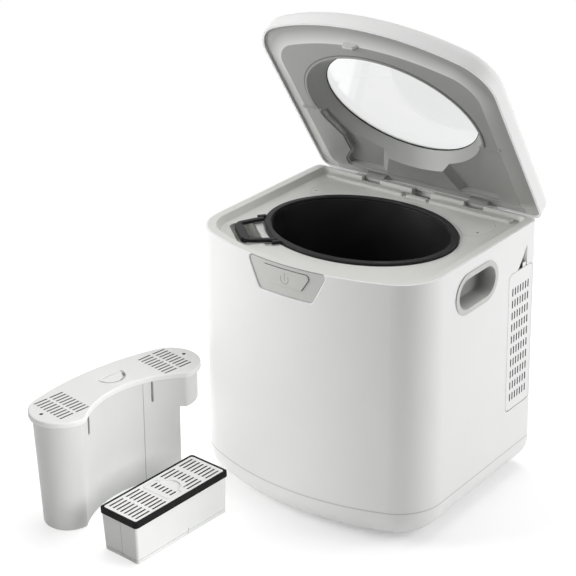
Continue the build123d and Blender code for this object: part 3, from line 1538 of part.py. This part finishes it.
with BuildPart() as small_flap:
    with BuildSketch(Plane.XY.offset(small_plate_z + 0.1)):
        with Locations(((small_flap_free + small_flap_back) / 2, 0)):
            Rectangle(small_flap_free - small_flap_back, 2 * small_flap_half)
        with Locations((small_flap_free - 8, 0)):
            with GridLocations(0, small_slot_pitch, 1, 6):
                SlotOverall(10, small_slot_width, mode=Mode.SUBTRACT)
    extrude(amount=small_grille_thickness - 0.2)
    fillet(small_flap.edges().filter_by(Axis.Y).group_by(Axis.X)[0], 0.85)
    with BuildSketch(Plane.XZ.offset(-small_flap_half - 2.5)):
        with Locations((small_flap_back + 1.2, small_plate_z + small_grille_thickness / 2)):
            Circle(0.5)
    extrude(amount=2 * small_flap_half + 5)
small_flap.part = small_frame.location * small_flap.part
small_flap.part.label = "small_flap"
export_step(small_flap.part, "parts/small_flap.step")

with BuildPart() as small_carbon:
    with BuildSketch(Plane.XY.offset(small_wall)):
        Rectangle(small_mouth_length - 8, small_mouth_width - 6)
    extrude(amount=small_plate_z - small_wall - 0.5)
small_carbon.part = small_frame.location * small_carbon.part
small_carbon.part.label = "small_carbon"
export_step(small_carbon.part, "parts/small_carbon.step")
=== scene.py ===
import json
import math
import bmesh
import bpy
from mathutils import Matrix, Vector


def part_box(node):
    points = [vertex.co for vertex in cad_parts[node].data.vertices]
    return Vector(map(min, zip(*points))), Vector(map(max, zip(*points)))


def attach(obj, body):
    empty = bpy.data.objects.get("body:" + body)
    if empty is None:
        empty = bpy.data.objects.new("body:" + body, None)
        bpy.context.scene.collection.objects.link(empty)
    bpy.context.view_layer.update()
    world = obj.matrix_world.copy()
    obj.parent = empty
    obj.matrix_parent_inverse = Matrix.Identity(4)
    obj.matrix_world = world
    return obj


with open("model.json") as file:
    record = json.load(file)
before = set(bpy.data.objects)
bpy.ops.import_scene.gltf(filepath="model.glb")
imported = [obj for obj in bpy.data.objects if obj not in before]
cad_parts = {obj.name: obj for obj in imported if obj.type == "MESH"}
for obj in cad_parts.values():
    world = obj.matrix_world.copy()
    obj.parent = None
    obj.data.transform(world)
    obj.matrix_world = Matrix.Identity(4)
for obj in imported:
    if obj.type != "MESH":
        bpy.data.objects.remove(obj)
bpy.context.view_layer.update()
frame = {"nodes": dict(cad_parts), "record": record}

nodes = frame["nodes"]

# Lengths are in metres and angles in degrees, in the frame of the pack.

# ---------------------------------------------------------------- node helpers


def new_material(name):
    mat = bpy.data.materials.new(name)
    mat.use_nodes = True
    tree = mat.node_tree
    shader = tree.nodes["Principled BSDF"]
    return mat, tree, shader


def node(tree, kind, **inputs):
    """A node with some of its inputs set; an underscore in an input's name stands for a space."""
    made = tree.nodes.new(kind)
    for key, value in inputs.items():
        made.inputs[key.replace("_", " ")].default_value = value
    return made


def calc(tree, operation, *values):
    """The output of one Math node, whose inputs are sockets or numbers."""
    made = tree.nodes.new("ShaderNodeMath")
    made.operation = operation
    for socket, value in zip(made.inputs, values):
        if isinstance(value, (int, float)):
            socket.default_value = value
        else:
            tree.links.new(value, socket)
    return made.outputs[0]


def eased(tree, value, start, end, low=0.0, high=1.0):
    """low where value is start or less, high where it is end or more."""
    made = node(tree, "ShaderNodeMapRange", From_Min=start, From_Max=end, To_Min=low, To_Max=high)
    tree.links.new(value, made.inputs["Value"])
    return made.outputs["Result"]


def spread(tree, source, low, high):
    return eased(tree, source, 0.0, 1.0, low, high)


def object_coords(tree):
    return tree.nodes.new("ShaderNodeTexCoord").outputs["Object"]


def placed(tree, centre, turn, scale=(1, 1, 1)):
    """Object coordinates in a frame at centre, turned about X, Y and Z, in units of scale."""
    mapping = tree.nodes.new("ShaderNodeMapping")
    mapping.vector_type = "TEXTURE"
    mapping.inputs["Location"].default_value = centre
    mapping.inputs["Rotation"].default_value = [math.radians(angle) for angle in turn]
    mapping.inputs["Scale"].default_value = scale
    tree.links.new(object_coords(tree), mapping.inputs["Vector"])
    return mapping.outputs["Vector"]


def split(tree, vector):
    """The X, Y and Z of a vector."""
    made = tree.nodes.new("ShaderNodeSeparateXYZ")
    tree.links.new(vector, made.inputs["Vector"])
    return [made.outputs[axis] for axis in "XYZ"]


def length(tree, vector):
    made = tree.nodes.new("ShaderNodeVectorMath")
    made.operation = "LENGTH"
    tree.links.new(vector, made.inputs[0])
    return made.outputs["Value"]


def noise(tree, scale, detail=3.0, rough=0.55, stretch=(1, 1, 1)):
    mapping = node(tree, "ShaderNodeMapping", Scale=stretch)
    tree.links.new(object_coords(tree), mapping.inputs["Vector"])
    made = node(tree, "ShaderNodeTexNoise", Scale=scale, Detail=detail, Roughness=rough)
    tree.links.new(mapping.outputs["Vector"], made.inputs["Vector"])
    return made.outputs["Fac"]


def cells(tree, scale):
    """The distance from the nearest cell's centre, for flecks and granules."""
    made = node(tree, "ShaderNodeTexVoronoi", Scale=scale)
    tree.links.new(object_coords(tree), made.inputs["Vector"])
    return made.outputs["Distance"]


def ramp(tree, source, low, high, start=0.3, end=0.7):
    made = tree.nodes.new("ShaderNodeValToRGB")
    made.color_ramp.elements[0].position = start
    made.color_ramp.elements[0].color = (*low, 1)
    made.color_ramp.elements[1].position = end
    made.color_ramp.elements[1].color = (*high, 1)
    tree.links.new(source, made.inputs["Fac"])
    return made.outputs["Color"]


def bumped(tree, shader, source, strength, distance, edge=0.0):
    """Relief from a source; edge is the radius by which sharp edges look rounded."""
    made = node(tree, "ShaderNodeBump", Strength=strength, Distance=distance)
    tree.links.new(source, made.inputs["Height"])
    if edge:
        bevel = node(tree, "ShaderNodeBevel", Radius=edge)
        bevel.samples = 4
        tree.links.new(bevel.outputs["Normal"], made.inputs["Normal"])
    tree.links.new(made.outputs["Normal"], shader.inputs["Normal"])


def surface(tree, shader, color, rough):
    tree.links.new(color, shader.inputs["Base Color"])
    tree.links.new(rough, shader.inputs["Roughness"])


# ---------------------------------------------------------------- masks for marks and shades


def inside(tree, centre, half, angle=0.0, soft=0.02):
    """1 inside a box in object coordinates, 0 outside it; angle turns the box about Z.

    soft is the share of the box's half size by which its edge is blurred to both sides.
    """
    sides = split(tree, placed(tree, centre, (0, 0, angle), half))
    x, y, z = [calc(tree, "ABSOLUTE", side) for side in sides]
    far = calc(tree, "MAXIMUM", calc(tree, "MAXIMUM", x, y), z)
    return eased(tree, far, 1 - soft, 1 + soft, 1.0, 0.0)


def oval_line(tree, centre, half, tilt, width, end):
    """1 on a line round the front of an oval, 0 off it.

    The oval's frame is tilted about X. The line's width, and end, the place on the oval's Y axis
    from which it fades out, are shares of the oval's size.
    """
    local = placed(tree, centre, (tilt, 0, 0), (*half, 100.0))
    off = calc(tree, "ABSOLUTE", calc(tree, "SUBTRACT", length(tree, local), 1.0))
    line = eased(tree, off, width * 0.5, width, 1.0, 0.0)
    front = eased(tree, split(tree, local)[1], end, end + 0.1, 1.0, 0.0)
    return calc(tree, "MULTIPLY", line, front)


def lines_in(tree, zone, pitch, width):
    """1 on lines along a zone's own X axis, one of them through its centre; 0 elsewhere."""
    turn = (0, 0, zone["angle"])
    across = split(tree, placed(tree, zone["centre"], turn, (1, pitch, 1)))[1]
    # the distance to the nearest whole number of pitches
    part = calc(tree, "FRACT", calc(tree, "ADD", across, 0.5))
    away = calc(tree, "ABSOLUTE", calc(tree, "SUBTRACT", part, 0.5))
    share = width / pitch
    line = eased(tree, away, share * 0.45, share * 0.55, 1.0, 0.0)
    return calc(tree, "MULTIPLY", line, inside(tree, **zone))


def painted_slope_light(tree, hinge, tilt, half, front, bow, corner, run):
    """Painted light on the lid liner's slope: 1 at the panel's edge, less towards the lip and the
    hinge.

    half, front, bow and corner give the panel's outline in the closed lid, run the width of the
    slope. It is 0 on the panel.
    """
    edge = 0.0012
    front_end, hinge_end, hinge_level = -0.10, -0.02, 0.34
    x, y, _ = split(tree, placed(tree, hinge, (tilt, 0, 0)))
    x = calc(tree, "ABSOLUTE", x)
    y = calc(tree, "ADD", y, hinge[1])
    # how far the bowed front edge lies back at x: a parabola, with 0.52 for 0.5 to keep to the arc
    sagitta = calc(tree, "MULTIPLY", calc(tree, "MULTIPLY", x, x), 0.52 / bow)
    ahead = calc(tree, "SUBTRACT", sagitta, y)
    out_x = calc(tree, "MAXIMUM", calc(tree, "SUBTRACT", x, half - corner), 0.0)
    out_y = calc(tree, "MAXIMUM", calc(tree, "ADD", ahead, front + corner), 0.0)
    squares = calc(
        tree, "ADD", calc(tree, "MULTIPLY", out_x, out_x), calc(tree, "MULTIPLY", out_y, out_y)
    )
    off = calc(tree, "SUBTRACT", calc(tree, "SQRT", squares), corner)
    band = calc(
        tree, "MULTIPLY", eased(tree, off, 0.0, edge), eased(tree, off, edge, run, 1.0, 0.0)
    )
    return calc(
        tree, "MULTIPLY", band, eased(tree, y, front_end, hinge_end, 1.0, hinge_level)
    )


def walls(tree, axis):
    """1 on faces along an object axis, such as the sides of a slot; 0 on faces across it."""
    along, across = 0.35, 0.7
    normal = tree.nodes.new("ShaderNodeTexCoord").outputs["Normal"]
    share = calc(tree, "ABSOLUTE", split(tree, normal)["XYZ".index(axis)])
    return eased(tree, share, along, across, 1.0, 0.0)


def blended(mat, color, mask):
    """Blends a material's colour to another where mask is 1."""
    tree = mat.node_tree
    target = tree.nodes["Principled BSDF"].inputs["Base Color"]
    blend = tree.nodes.new("ShaderNodeMix")
    blend.data_type = "RGBA"
    # the colour sockets A and B and the colour output of a Mix node
    color_a, color_b, result = blend.inputs[6], blend.inputs[7], blend.outputs[2]
    color_b.default_value = (*color, 1)
    tree.links.new(mask, blend.inputs[0])
    tree.links.new(target.links[0].from_socket, color_a)
    tree.links.new(result, target)


def darkened(mat, color, *zones):
    """Blends a material's colour to another inside the given zones, such as slots and grooves."""
    for zone in zones:
        blended(mat, color, inside(mat.node_tree, **zone))


# ---------------------------------------------------------------- finishes


def moulded(
    name, color, rough=0.4, mottle=0.02, grain=1800.0, grain_strength=0.12, coat=0.0, edge=0.0005
):
    """Injection-moulded plastic: faint flow mottling, uneven gloss and a fine spark-eroded grain."""
    mat, tree, shader = new_material(name)
    dark = [max(0.0, c - mottle) for c in color]
    light = [min(1.0, c + mottle * 0.6) for c in color]
    tone = ramp(tree, noise(tree, 14.0, 4.0), dark, light)
    surface(tree, shader, tone, spread(tree, noise(tree, 45.0, 5.0), rough - 0.05, rough + 0.06))
    bumped(tree, shader, noise(tree, grain, 2.0), grain_strength, 0.00012, edge)
    if coat:
        shader.inputs["Coat Weight"].default_value = coat
        shader.inputs["Coat Roughness"].default_value = 0.12
    return mat


def white_shell(name, rough, coat, edge):
    """The white of the outer mouldings, smoother than the rest."""
    return moulded(name, (0.84, 0.84, 0.835), rough, 0.008, 2200.0, 0.05, coat, edge)


def metal(name, color, rough=0.32, stretch=(1, 1, 14), scale=220.0):
    """Turned or drawn metal with fine directional marks."""
    mat, tree, shader = new_material(name)
    shader.inputs["Metallic"].default_value = 1.0
    streaks = noise(tree, scale, 6.0, 0.6, stretch)
    tone = ramp(tree, streaks, [c * 0.86 for c in color], color)
    surface(tree, shader, tone, spread(tree, streaks, rough - 0.08, rough + 0.1))
    bumped(tree, shader, streaks, 0.15, 0.0001, 0.0004)
    return mat


def rubber(name, color):
    """Black rubber: dull, with a fine grain."""
    mat, tree, shader = new_material(name)
    tone = ramp(tree, noise(tree, 60.0, 4.0), [c * 0.7 for c in color], [c * 1.5 for c in color])
    surface(tree, shader, tone, spread(tree, noise(tree, 90.0), 0.5, 0.72))
    bumped(tree, shader, noise(tree, 1500.0, 2.0), 0.25, 0.00015, 0.0004)
    return mat


def coated(name, color):
    """Non-stick coating: near-black with a fine pale fleck and a low sheen."""
    mat, tree, shader = new_material(name)
    flecks = ramp(tree, cells(tree, 420.0), [c * 3.2 for c in color], color, 0.02, 0.2)
    surface(tree, shader, flecks, spread(tree, noise(tree, 30.0, 5.0), 0.28, 0.44))
    bumped(tree, shader, noise(tree, 900.0, 3.0), 0.2, 0.00015, 0.0005)
    return mat


def glass(name):
    mat, tree, shader = new_material(name)
    shader.inputs["Transmission Weight"].default_value = 1.0
    shader.inputs["IOR"].default_value = 1.45
    tint = ramp(tree, noise(tree, 8.0), (0.925, 0.935, 0.932), (0.945, 0.952, 0.95))
    surface(tree, shader, tint, spread(tree, noise(tree, 25.0, 4.0), 0.0, 0.03))
    return mat


def carbon(name):
    """Activated charcoal granules."""
    mat, tree, shader = new_material(name)
    granules = cells(tree, 380.0)
    tone = ramp(tree, granules, (0.05, 0.05, 0.05), (0.008, 0.008, 0.008), 0.1, 0.6)
    surface(tree, shader, tone, spread(tree, noise(tree, 120.0), 0.7, 0.95))
    bumped(tree, shader, granules, 0.8, 0.0008)
    return mat


def board(name):
    """Green solder mask with paler copper areas under it."""
    mat, tree, shader = new_material(name)
    tracks = node(
        tree,
        "ShaderNodeTexBrick",
        Scale=160.0,
        Color1=(0.02, 0.16, 0.07, 1),
        Color2=(0.03, 0.22, 0.09, 1),
        Mortar=(0.05, 0.32, 0.14, 1),
    )
    tree.links.new(object_coords(tree), tracks.inputs["Vector"])
    surface(tree, shader, tracks.outputs["Color"], spread(tree, noise(tree, 70.0), 0.25, 0.4))
    return mat


finishes = {
    "body_white": white_shell("body_white", 0.36, 0.12, 0.0008),
    "deck_grey": moulded("deck_grey", (0.65, 0.65, 0.625), 0.48, 0.014),
    "liner_grey": moulded("liner_grey", (0.355, 0.36, 0.345), 0.42, 0.012, edge=0.0009),
    "accent_grey": moulded("accent_grey", (0.58, 0.58, 0.56), 0.44, 0.012),
    "window_glass": glass("window_glass"),
    "gasket_black": rubber("gasket_black", (0.006, 0.006, 0.006)),
    "bucket_black": coated("bucket_black", (0.010, 0.010, 0.011)),
    "rim_charcoal": moulded("rim_charcoal", (0.022, 0.022, 0.023), 0.45, 0.006),
    "filter_white": moulded("filter_white", (0.83, 0.83, 0.815), 0.42, 0.012),
    "filter_grey": moulded("filter_grey", (0.70, 0.705, 0.69), 0.40, 0.014),
    "carbon_black": carbon("carbon_black"),
    "steel": metal("steel", (0.62, 0.62, 0.63)),
    "rotor_steel": metal("rotor_steel", (0.42, 0.42, 0.43), 0.4, (1, 1, 1), 300.0),
    "inner_plastic": moulded("inner_plastic", (0.11, 0.11, 0.115), 0.55, 0.02),
    "board_green": board("board_green"),
    "aluminium": metal("aluminium", (0.78, 0.78, 0.79), 0.38, (14, 1, 1), 160.0),
    "foot_rubber": rubber("foot_rubber", (0.03, 0.03, 0.03)),
    "inlet_black": moulded("inlet_black", (0.02, 0.02, 0.02), 0.4, 0.006),
}
# pieces that differ from the rest of their slot; the grip cups' own material carries painted shade
grip_plastic_painted_shade = moulded("grip_plastic_painted_shade", (0.58, 0.58, 0.56), 0.44, 0.012)
door_plastic = white_shell("door_plastic", 0.33, 0.25, 0.0003)
lid_plastic = white_shell("lid_plastic", 0.38, 0.0, 0.0008)
own_finish = {
    "grip_cup_right": grip_plastic_painted_shade,
    "grip_cup_left": grip_plastic_painted_shade,
    "vent_door": door_plastic,
    "lid_shell": lid_plastic,
}

# duller surfaces, so that no lamp's reflection greys the black pieces or bleaches the pale ones
for mat, level in (
    (finishes["rim_charcoal"], 0.12),
    (finishes["gasket_black"], 0.12),
    (finishes["filter_white"], 0.45),
    (finishes["body_white"], 0.40),
    (lid_plastic, 0.18),
):
    mat.node_tree.nodes["Principled BSDF"].inputs["Specular IOR Level"].default_value = level

# ---------------------------------------------------------------- marks, painted shade and painted light on the finishes

# where each cartridge stands: the origin of its own frame and that frame's turn
LARGE = ((-0.191, -0.200), 81.5)
SMALL = ((-0.098, -0.231), 86.5)


def on_cartridge(stand, x, y, z, half, soft=0.02):
    """A zone given in a cartridge's own frame, as a centre and half sizes."""
    (stand_x, stand_y), turn = stand
    cos, sin = math.cos(math.radians(turn)), math.sin(math.radians(turn))
    centre = (stand_x + x * cos - y * sin, stand_y + x * sin + y * cos, z)
    return {"centre": centre, "half": half, "angle": turn, "soft": soft}


# painted shade: the inner sides of the slots in both covers, from just below the top to the
# underside, darkened as if in shadow
large_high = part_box("large_top")[1].z
small_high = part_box("small_grille")[1].z
grille_y = 0.004
for stand, z, half_z, zones in (
    (
        LARGE,
        large_high - 0.0034,
        0.0030,
        (
            # both grilles, then both dots
            (-0.07375, grille_y, 0.0212, 0.0250),
            (0.07375, grille_y, 0.0212, 0.0250),
            (-0.101, grille_y, 0.0026, 0.0026),
            (0.101, 0.002, 0.0026, 0.0026),
        ),
    ),
    (
        SMALL,
        small_high - 0.0022,
        0.0018,
        (
            # both ends, then the slots on both sides of the half-moon
            (-0.031, 0, 0.037, 0.0243),
            (0.0435, 0, 0.0235, 0.0243),
            (0.013, 0.0190, 0.008, 0.0053),
            (0.013, -0.0190, 0.008, 0.0053),
        ),
    ),
):
    for x, y, half_x, half_y in zones:
        zone = on_cartridge(stand, x, y, z, (half_x, half_y, half_z))
        darkened(finishes["filter_white"], (0.05, 0.05, 0.05), zone)

# painted shade: dark lines along the large cover's slots, drawn 0.4 mm wider to each side than the
# slots
slot_pitch, drawn_width = 0.0058, 0.0023
for x in (-0.0845, -0.063, 0.063, 0.0845):
    slots = on_cartridge(LARGE, x, grille_y, large_high, (0.0088, 0.0246, 0.0030))
    edges = lines_in(finishes["filter_white"].node_tree, slots, slot_pitch, drawn_width)
    blended(finishes["filter_white"], (0.16, 0.16, 0.16), edges)

# painted shade in the keying grooves of the large case
groove_z, groove_half = 0.1195, 0.0141
darkened(
    finishes["filter_grey"],
    (0.08, 0.08, 0.08),
    on_cartridge(LARGE, -0.056, -0.0208, groove_z, (0.0021, 0.0030, groove_half), 0.08),
    on_cartridge(LARGE, 0.041, -0.0133, groove_z, (0.0011, 0.0030, groove_half), 0.08),
)
# the mould seams of the cases
darkened(
    finishes["filter_grey"],
    (0.34, 0.34, 0.33),
    on_cartridge(LARGE, 0.0305, -0.0080, 0.060, (0.0004, 0.0050, 0.0734), 0.4),
    on_cartridge(SMALL, -0.072, -0.0023, 0.023, (0.0030, 0.0003, 0.0230), 0.4),
)
# the parting line between the outer shell and the base pan
parting_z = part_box("outer_shell")[0].z
darkened(
    finishes["body_white"],
    (0.60, 0.60, 0.595),
    {"centre": (0, 0, parting_z), "half": (1.0, 1.0, 0.0007), "soft": 0.4},
)
# painted shade inside the grip cups
darkened(
    grip_plastic_painted_shade,
    (0.26, 0.26, 0.25),
    {"centre": (0, 0, 0.2735), "half": (0.1435, 0.05, 0.03), "soft": 0.05},
)
# painted shade on the sides of the gaps round the button and of the slots in the vent door
for mat, color, axis in (
    (finishes["accent_grey"], (0.16, 0.16, 0.155), "Y"),
    (door_plastic, (0.14, 0.14, 0.14), "X"),
):
    blended(mat, color, walls(mat.node_tree, axis))

# painted shadow along the foot of the bead round the window, then painted light on the slope between
# the liner's panel and lip
liner = finishes["liner_grey"]
hinge_at, lid_tilt = (0, 0.1295, 0.305), -57
bead = oval_line(
    liner.node_tree,
    centre=(0, 0.0609, 0.4172),
    half=(0.1142, 0.0932),
    tilt=lid_tilt,
    width=0.011,
    end=0.15,
)
blended(liner, (0.15, 0.15, 0.145), bead)
slope = painted_slope_light(
    liner.node_tree,
    hinge=hinge_at,
    tilt=lid_tilt,
    half=0.1275,
    front=-0.1105,
    bow=0.2775,
    corner=0.024,
    run=0.019,
)
blended(liner, (0.72, 0.725, 0.70), slope)

for part in frame["record"]["subparts"]:
    target = nodes[part["node"]]
    target.data.materials.clear()
    target.data.materials.append(own_finish.get(part["node"], finishes[part["material_slot"]]))

# ---------------------------------------------------------------- pieces that are only drawn here


def shown(name, data):
    """An object for a mesh, a lamp or a camera, linked into the scene."""
    thing = bpy.data.objects.new(name, data)
    bpy.context.scene.collection.objects.link(thing)
    return thing


def solid(name, rings, finish):
    """A closed piece through rings of points, each ring joined to the next."""
    shape = bmesh.new()
    loops = [[shape.verts.new(point) for point in ring] for ring in rings]
    for a, b in zip(loops, loops[1:]):
        for k in range(len(a)):
            n = (k + 1) % len(a)
            shape.faces.new((a[k], a[n], b[n], b[k]))
    shape.faces.new(loops[0][::-1])
    shape.faces.new(loops[-1])
    bmesh.ops.recalc_face_normals(shape, faces=shape.faces)
    mesh = bpy.data.meshes.new(name)
    shape.to_mesh(mesh)
    shape.free()
    mesh.materials.append(finish)
    return shown(name, mesh)


def button_face(x, z, lift):
    """A point on the button's bowed front, lift proud of it."""
    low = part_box("power_button")[0]
    bow = 0.3052
    return Vector((x, low.y + bow - math.sqrt(bow * bow - x * x) - lift, z))


def printed_line(name, body, path, width):
    """A thin raised line along a path of (x, z) points on the button's front."""
    sunk, proud = -0.0001, 0.00006
    rings = []
    for i, (x, z) in enumerate(path):
        ahead = path[min(i + 1, len(path) - 1)]
        behind = path[max(i - 1, 0)]
        dx, dz = ahead[0] - behind[0], ahead[1] - behind[1]
        long = math.hypot(dx, dz)
        nx, nz = -dz / long * width / 2, dx / long * width / 2
        rings.append([
            button_face(x + nx * share, z + nz * share, lift)
            for share, lift in ((1, sunk), (0.8, proud), (-0.8, proud), (-1, sunk))
        ])
    piece = solid(name, rings, symbol_ink)
    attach(piece, body)


# the power symbol on the button: a ring that is open at the top, and a stroke
symbol_ink = moulded("symbol_ink", (0.36, 0.36, 0.35), 0.5, 0.02)
symbol_z, symbol_radius, symbol_width = 0.2946, 0.0051, 0.0009
half_opening, ring_steps = 50, 40
step_angle = (360 - 2 * half_opening) / ring_steps
ring_angles = [math.radians(90 + half_opening + k * step_angle) for k in range(ring_steps + 1)]
printed_line(
    "power_symbol_ring",
    "power_button",
    [(symbol_radius * math.cos(a), symbol_z + symbol_radius * math.sin(a)) for a in ring_angles],
    symbol_width,
)
stroke_start, stroke_step = -0.0016, 0.0013
printed_line(
    "power_symbol_stroke",
    "power_button",
    [(0.0, symbol_z + stroke_start + k * stroke_step) for k in range(8)],
    symbol_width,
)

# a dark strip that closes the sliver under the hinge rail's middle slot and stands in for the shade
# there; its profile is in (y, z)
strip_half = 0.0142
strip_profile = [
    (0.12525, 0.29905),
    (0.12925, 0.29975),
    (0.12945, 0.29995),
    (0.12945, 0.30070),
    (0.12925, 0.30085),
    (0.12525, 0.30010),
]
strip = solid(
    "hinge_slot_shade_strip",
    [[(x, y, z) for y, z in strip_profile] for x in (-strip_half, strip_half)],
    finishes["inner_plastic"],
)
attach(strip, "machine")

# ---------------------------------------------------------------- floor and backdrop


def seen_rays(tree):
    """1 for camera, glossy and transmission rays, 0 for the diffuse rays that light the object."""
    rays = tree.nodes.new("ShaderNodeLightPath").outputs
    either = calc(tree, "MAXIMUM", rays["Is Camera Ray"], rays["Is Glossy Ray"])
    return calc(tree, "MAXIMUM", either, rays["Is Transmission Ray"])


floor_half, floor_z = 12.0, -0.0003
floor_mesh = bpy.data.meshes.new("floor")
floor_shape = bmesh.new()
bmesh.ops.create_grid(floor_shape, x_segments=2, y_segments=2, size=floor_half)
floor_shape.to_mesh(floor_mesh)
floor_shape.free()
floor = shown("floor", floor_mesh)
floor.location.z = floor_z

floor_mat, tree, shader = new_material("floor_white")
paint = ramp(tree, noise(tree, 0.8), (0.80, 0.80, 0.80), (0.82, 0.82, 0.82))
tree.links.new(paint, shader.inputs["Base Color"])
shader.inputs["Roughness"].default_value = 0.9
shader.inputs["Specular IOR Level"].default_value = 0.0
# a little glow where the floor is seen lifts it to white without lighting the object
floor_lift = 0.30
seen = seen_rays(tree)
glow = tree.nodes.new("ShaderNodeEmission")
tree.links.new(calc(tree, "MULTIPLY", seen, floor_lift), glow.inputs["Strength"])
lifted = tree.nodes.new("ShaderNodeAddShader")
tree.links.new(shader.outputs["BSDF"], lifted.inputs[0])
tree.links.new(glow.outputs["Emission"], lifted.inputs[1])
# further out the floor fades into the white backdrop
fade_start, fade_end = 0.6, 1.5
fade = eased(tree, length(tree, object_coords(tree)), fade_start, fade_end)
fade.node.interpolation_type = "SMOOTHSTEP"
backdrop_white = tree.nodes.new("ShaderNodeEmission")
merged = tree.nodes.new("ShaderNodeMixShader")
tree.links.new(calc(tree, "MULTIPLY", seen, fade), merged.inputs["Fac"])
tree.links.new(lifted.outputs["Shader"], merged.inputs[1])
tree.links.new(backdrop_white.outputs["Emission"], merged.inputs[2])
tree.links.new(merged.outputs["Shader"], tree.nodes["Material Output"].inputs["Surface"])
floor_mesh.materials.append(floor_mat)

# the world is white where it is seen and dimmer as a light
world_light, world_seen = 0.24, 1.0
world = bpy.data.worlds.new("studio")
world.use_nodes = True
bpy.context.scene.world = world
tree = world.node_tree
backdrop = tree.nodes["Background"]
backdrop.inputs["Color"].default_value = (1, 1, 1, 1)
level = spread(tree, seen_rays(tree), world_light, world_seen)
tree.links.new(level, backdrop.inputs["Strength"])

# ---------------------------------------------------------------- lamps


def link_group(name, things, state):
    """A light-linking collection that includes or excludes some objects."""
    group = bpy.data.collections.new(name)
    for thing in things:
        group.objects.link(thing)
    for entry in group.collection_objects:
        entry.light_linking.link_state = state
    return group


def softbox(name, place, target, size, power, lit=(), unlit=(), through=()):
    """A rectangular lamp that lights everything, only the objects in lit, or all but those in unlit.

    The objects in through cast no shadow from it.
    """
    lamp = bpy.data.lights.new(name, "AREA")
    lamp.shape = "RECTANGLE"
    lamp.size, lamp.size_y = size
    lamp.energy = power
    holder = shown(name, lamp)
    holder.location = place
    holder.rotation_mode = "QUATERNION"
    holder.rotation_quaternion = (Vector(target) - Vector(place)).to_track_quat("-Z", "Y")
    linking = holder.light_linking
    if lit:
        linking.receiver_collection = link_group(name + "_receivers", lit, "INCLUDE")
    elif unlit:
        linking.receiver_collection = link_group(name + "_receivers", unlit, "EXCLUDE")
    if through:
        linking.blocker_collection = link_group(name + "_blockers", through, "EXCLUDE")


cartridges = [thing for name, thing in nodes.items() if name.startswith(("large_", "small_"))]
lid = [nodes["lid_shell"]]
middle = (0, 0, 0.2)
softbox(
    "key_left", (-1.93, -1.43, 1.15), middle, (1.4, 1.4), 45,
    unlit=[*cartridges, *lid], through=cartridges,
)
softbox("key_lid", (-1.45, -1.95, 1.15), (0, 0, 0.4), (1.4, 1.4), 46, lit=lid)
softbox("side_right", (1.65, 1.1, 0.85), middle, (1.2, 1.4), 24)
softbox("top", (-0.2, 0.55, 2.1), middle, (1.8, 1.8), 25, unlit=lid)
softbox("top_lid", (-0.2, 0.55, 2.1), middle, (1.8, 1.8), 11, lit=lid)
softbox("cartridge_fill", (1.6, -0.25, 0.95), (-0.15, -0.2, 0.08), (0.9, 0.9), 24, lit=cartridges)

# ---------------------------------------------------------------- camera, fitted to the photograph

azimuth, elevation, roll = math.radians(37.7365), math.radians(24.6726), math.radians(-0.944)
# the fit's origin lies behind the bucket's axis, which is the origin here
fit_origin = Vector((0, 0.125, 0))
shift_right, shift_up, distance = -0.159868, 0.169257, 2.10579
focal_pixels, picture_pixels, sensor = 1723.12, 576.0, 36.0
back = Vector((
    math.sin(azimuth) * math.cos(elevation),
    -math.cos(azimuth) * math.cos(elevation),
    math.sin(elevation),
))
level_right = Vector((math.cos(azimuth), math.sin(azimuth), 0))
level_up = back.cross(level_right)
right = level_right * math.cos(roll) + level_up * math.sin(roll)
up = level_up * math.cos(roll) - level_right * math.sin(roll)
camera_data = bpy.data.cameras.new("camera")
camera = shown("camera", camera_data)
bpy.context.scene.camera = camera
camera.rotation_mode = "QUATERNION"
camera.rotation_quaternion = Matrix((right, up, back)).transposed().to_quaternion()
camera.location = right * shift_right + up * shift_up + back * distance + fit_origin
camera_data.sensor_width = sensor
camera_data.lens = focal_pixels * sensor / picture_pixels
camera_data.clip_start = 0.05
camera_data.clip_end = 60.0

bpy.context.scene.view_settings.view_transform = "Standard"
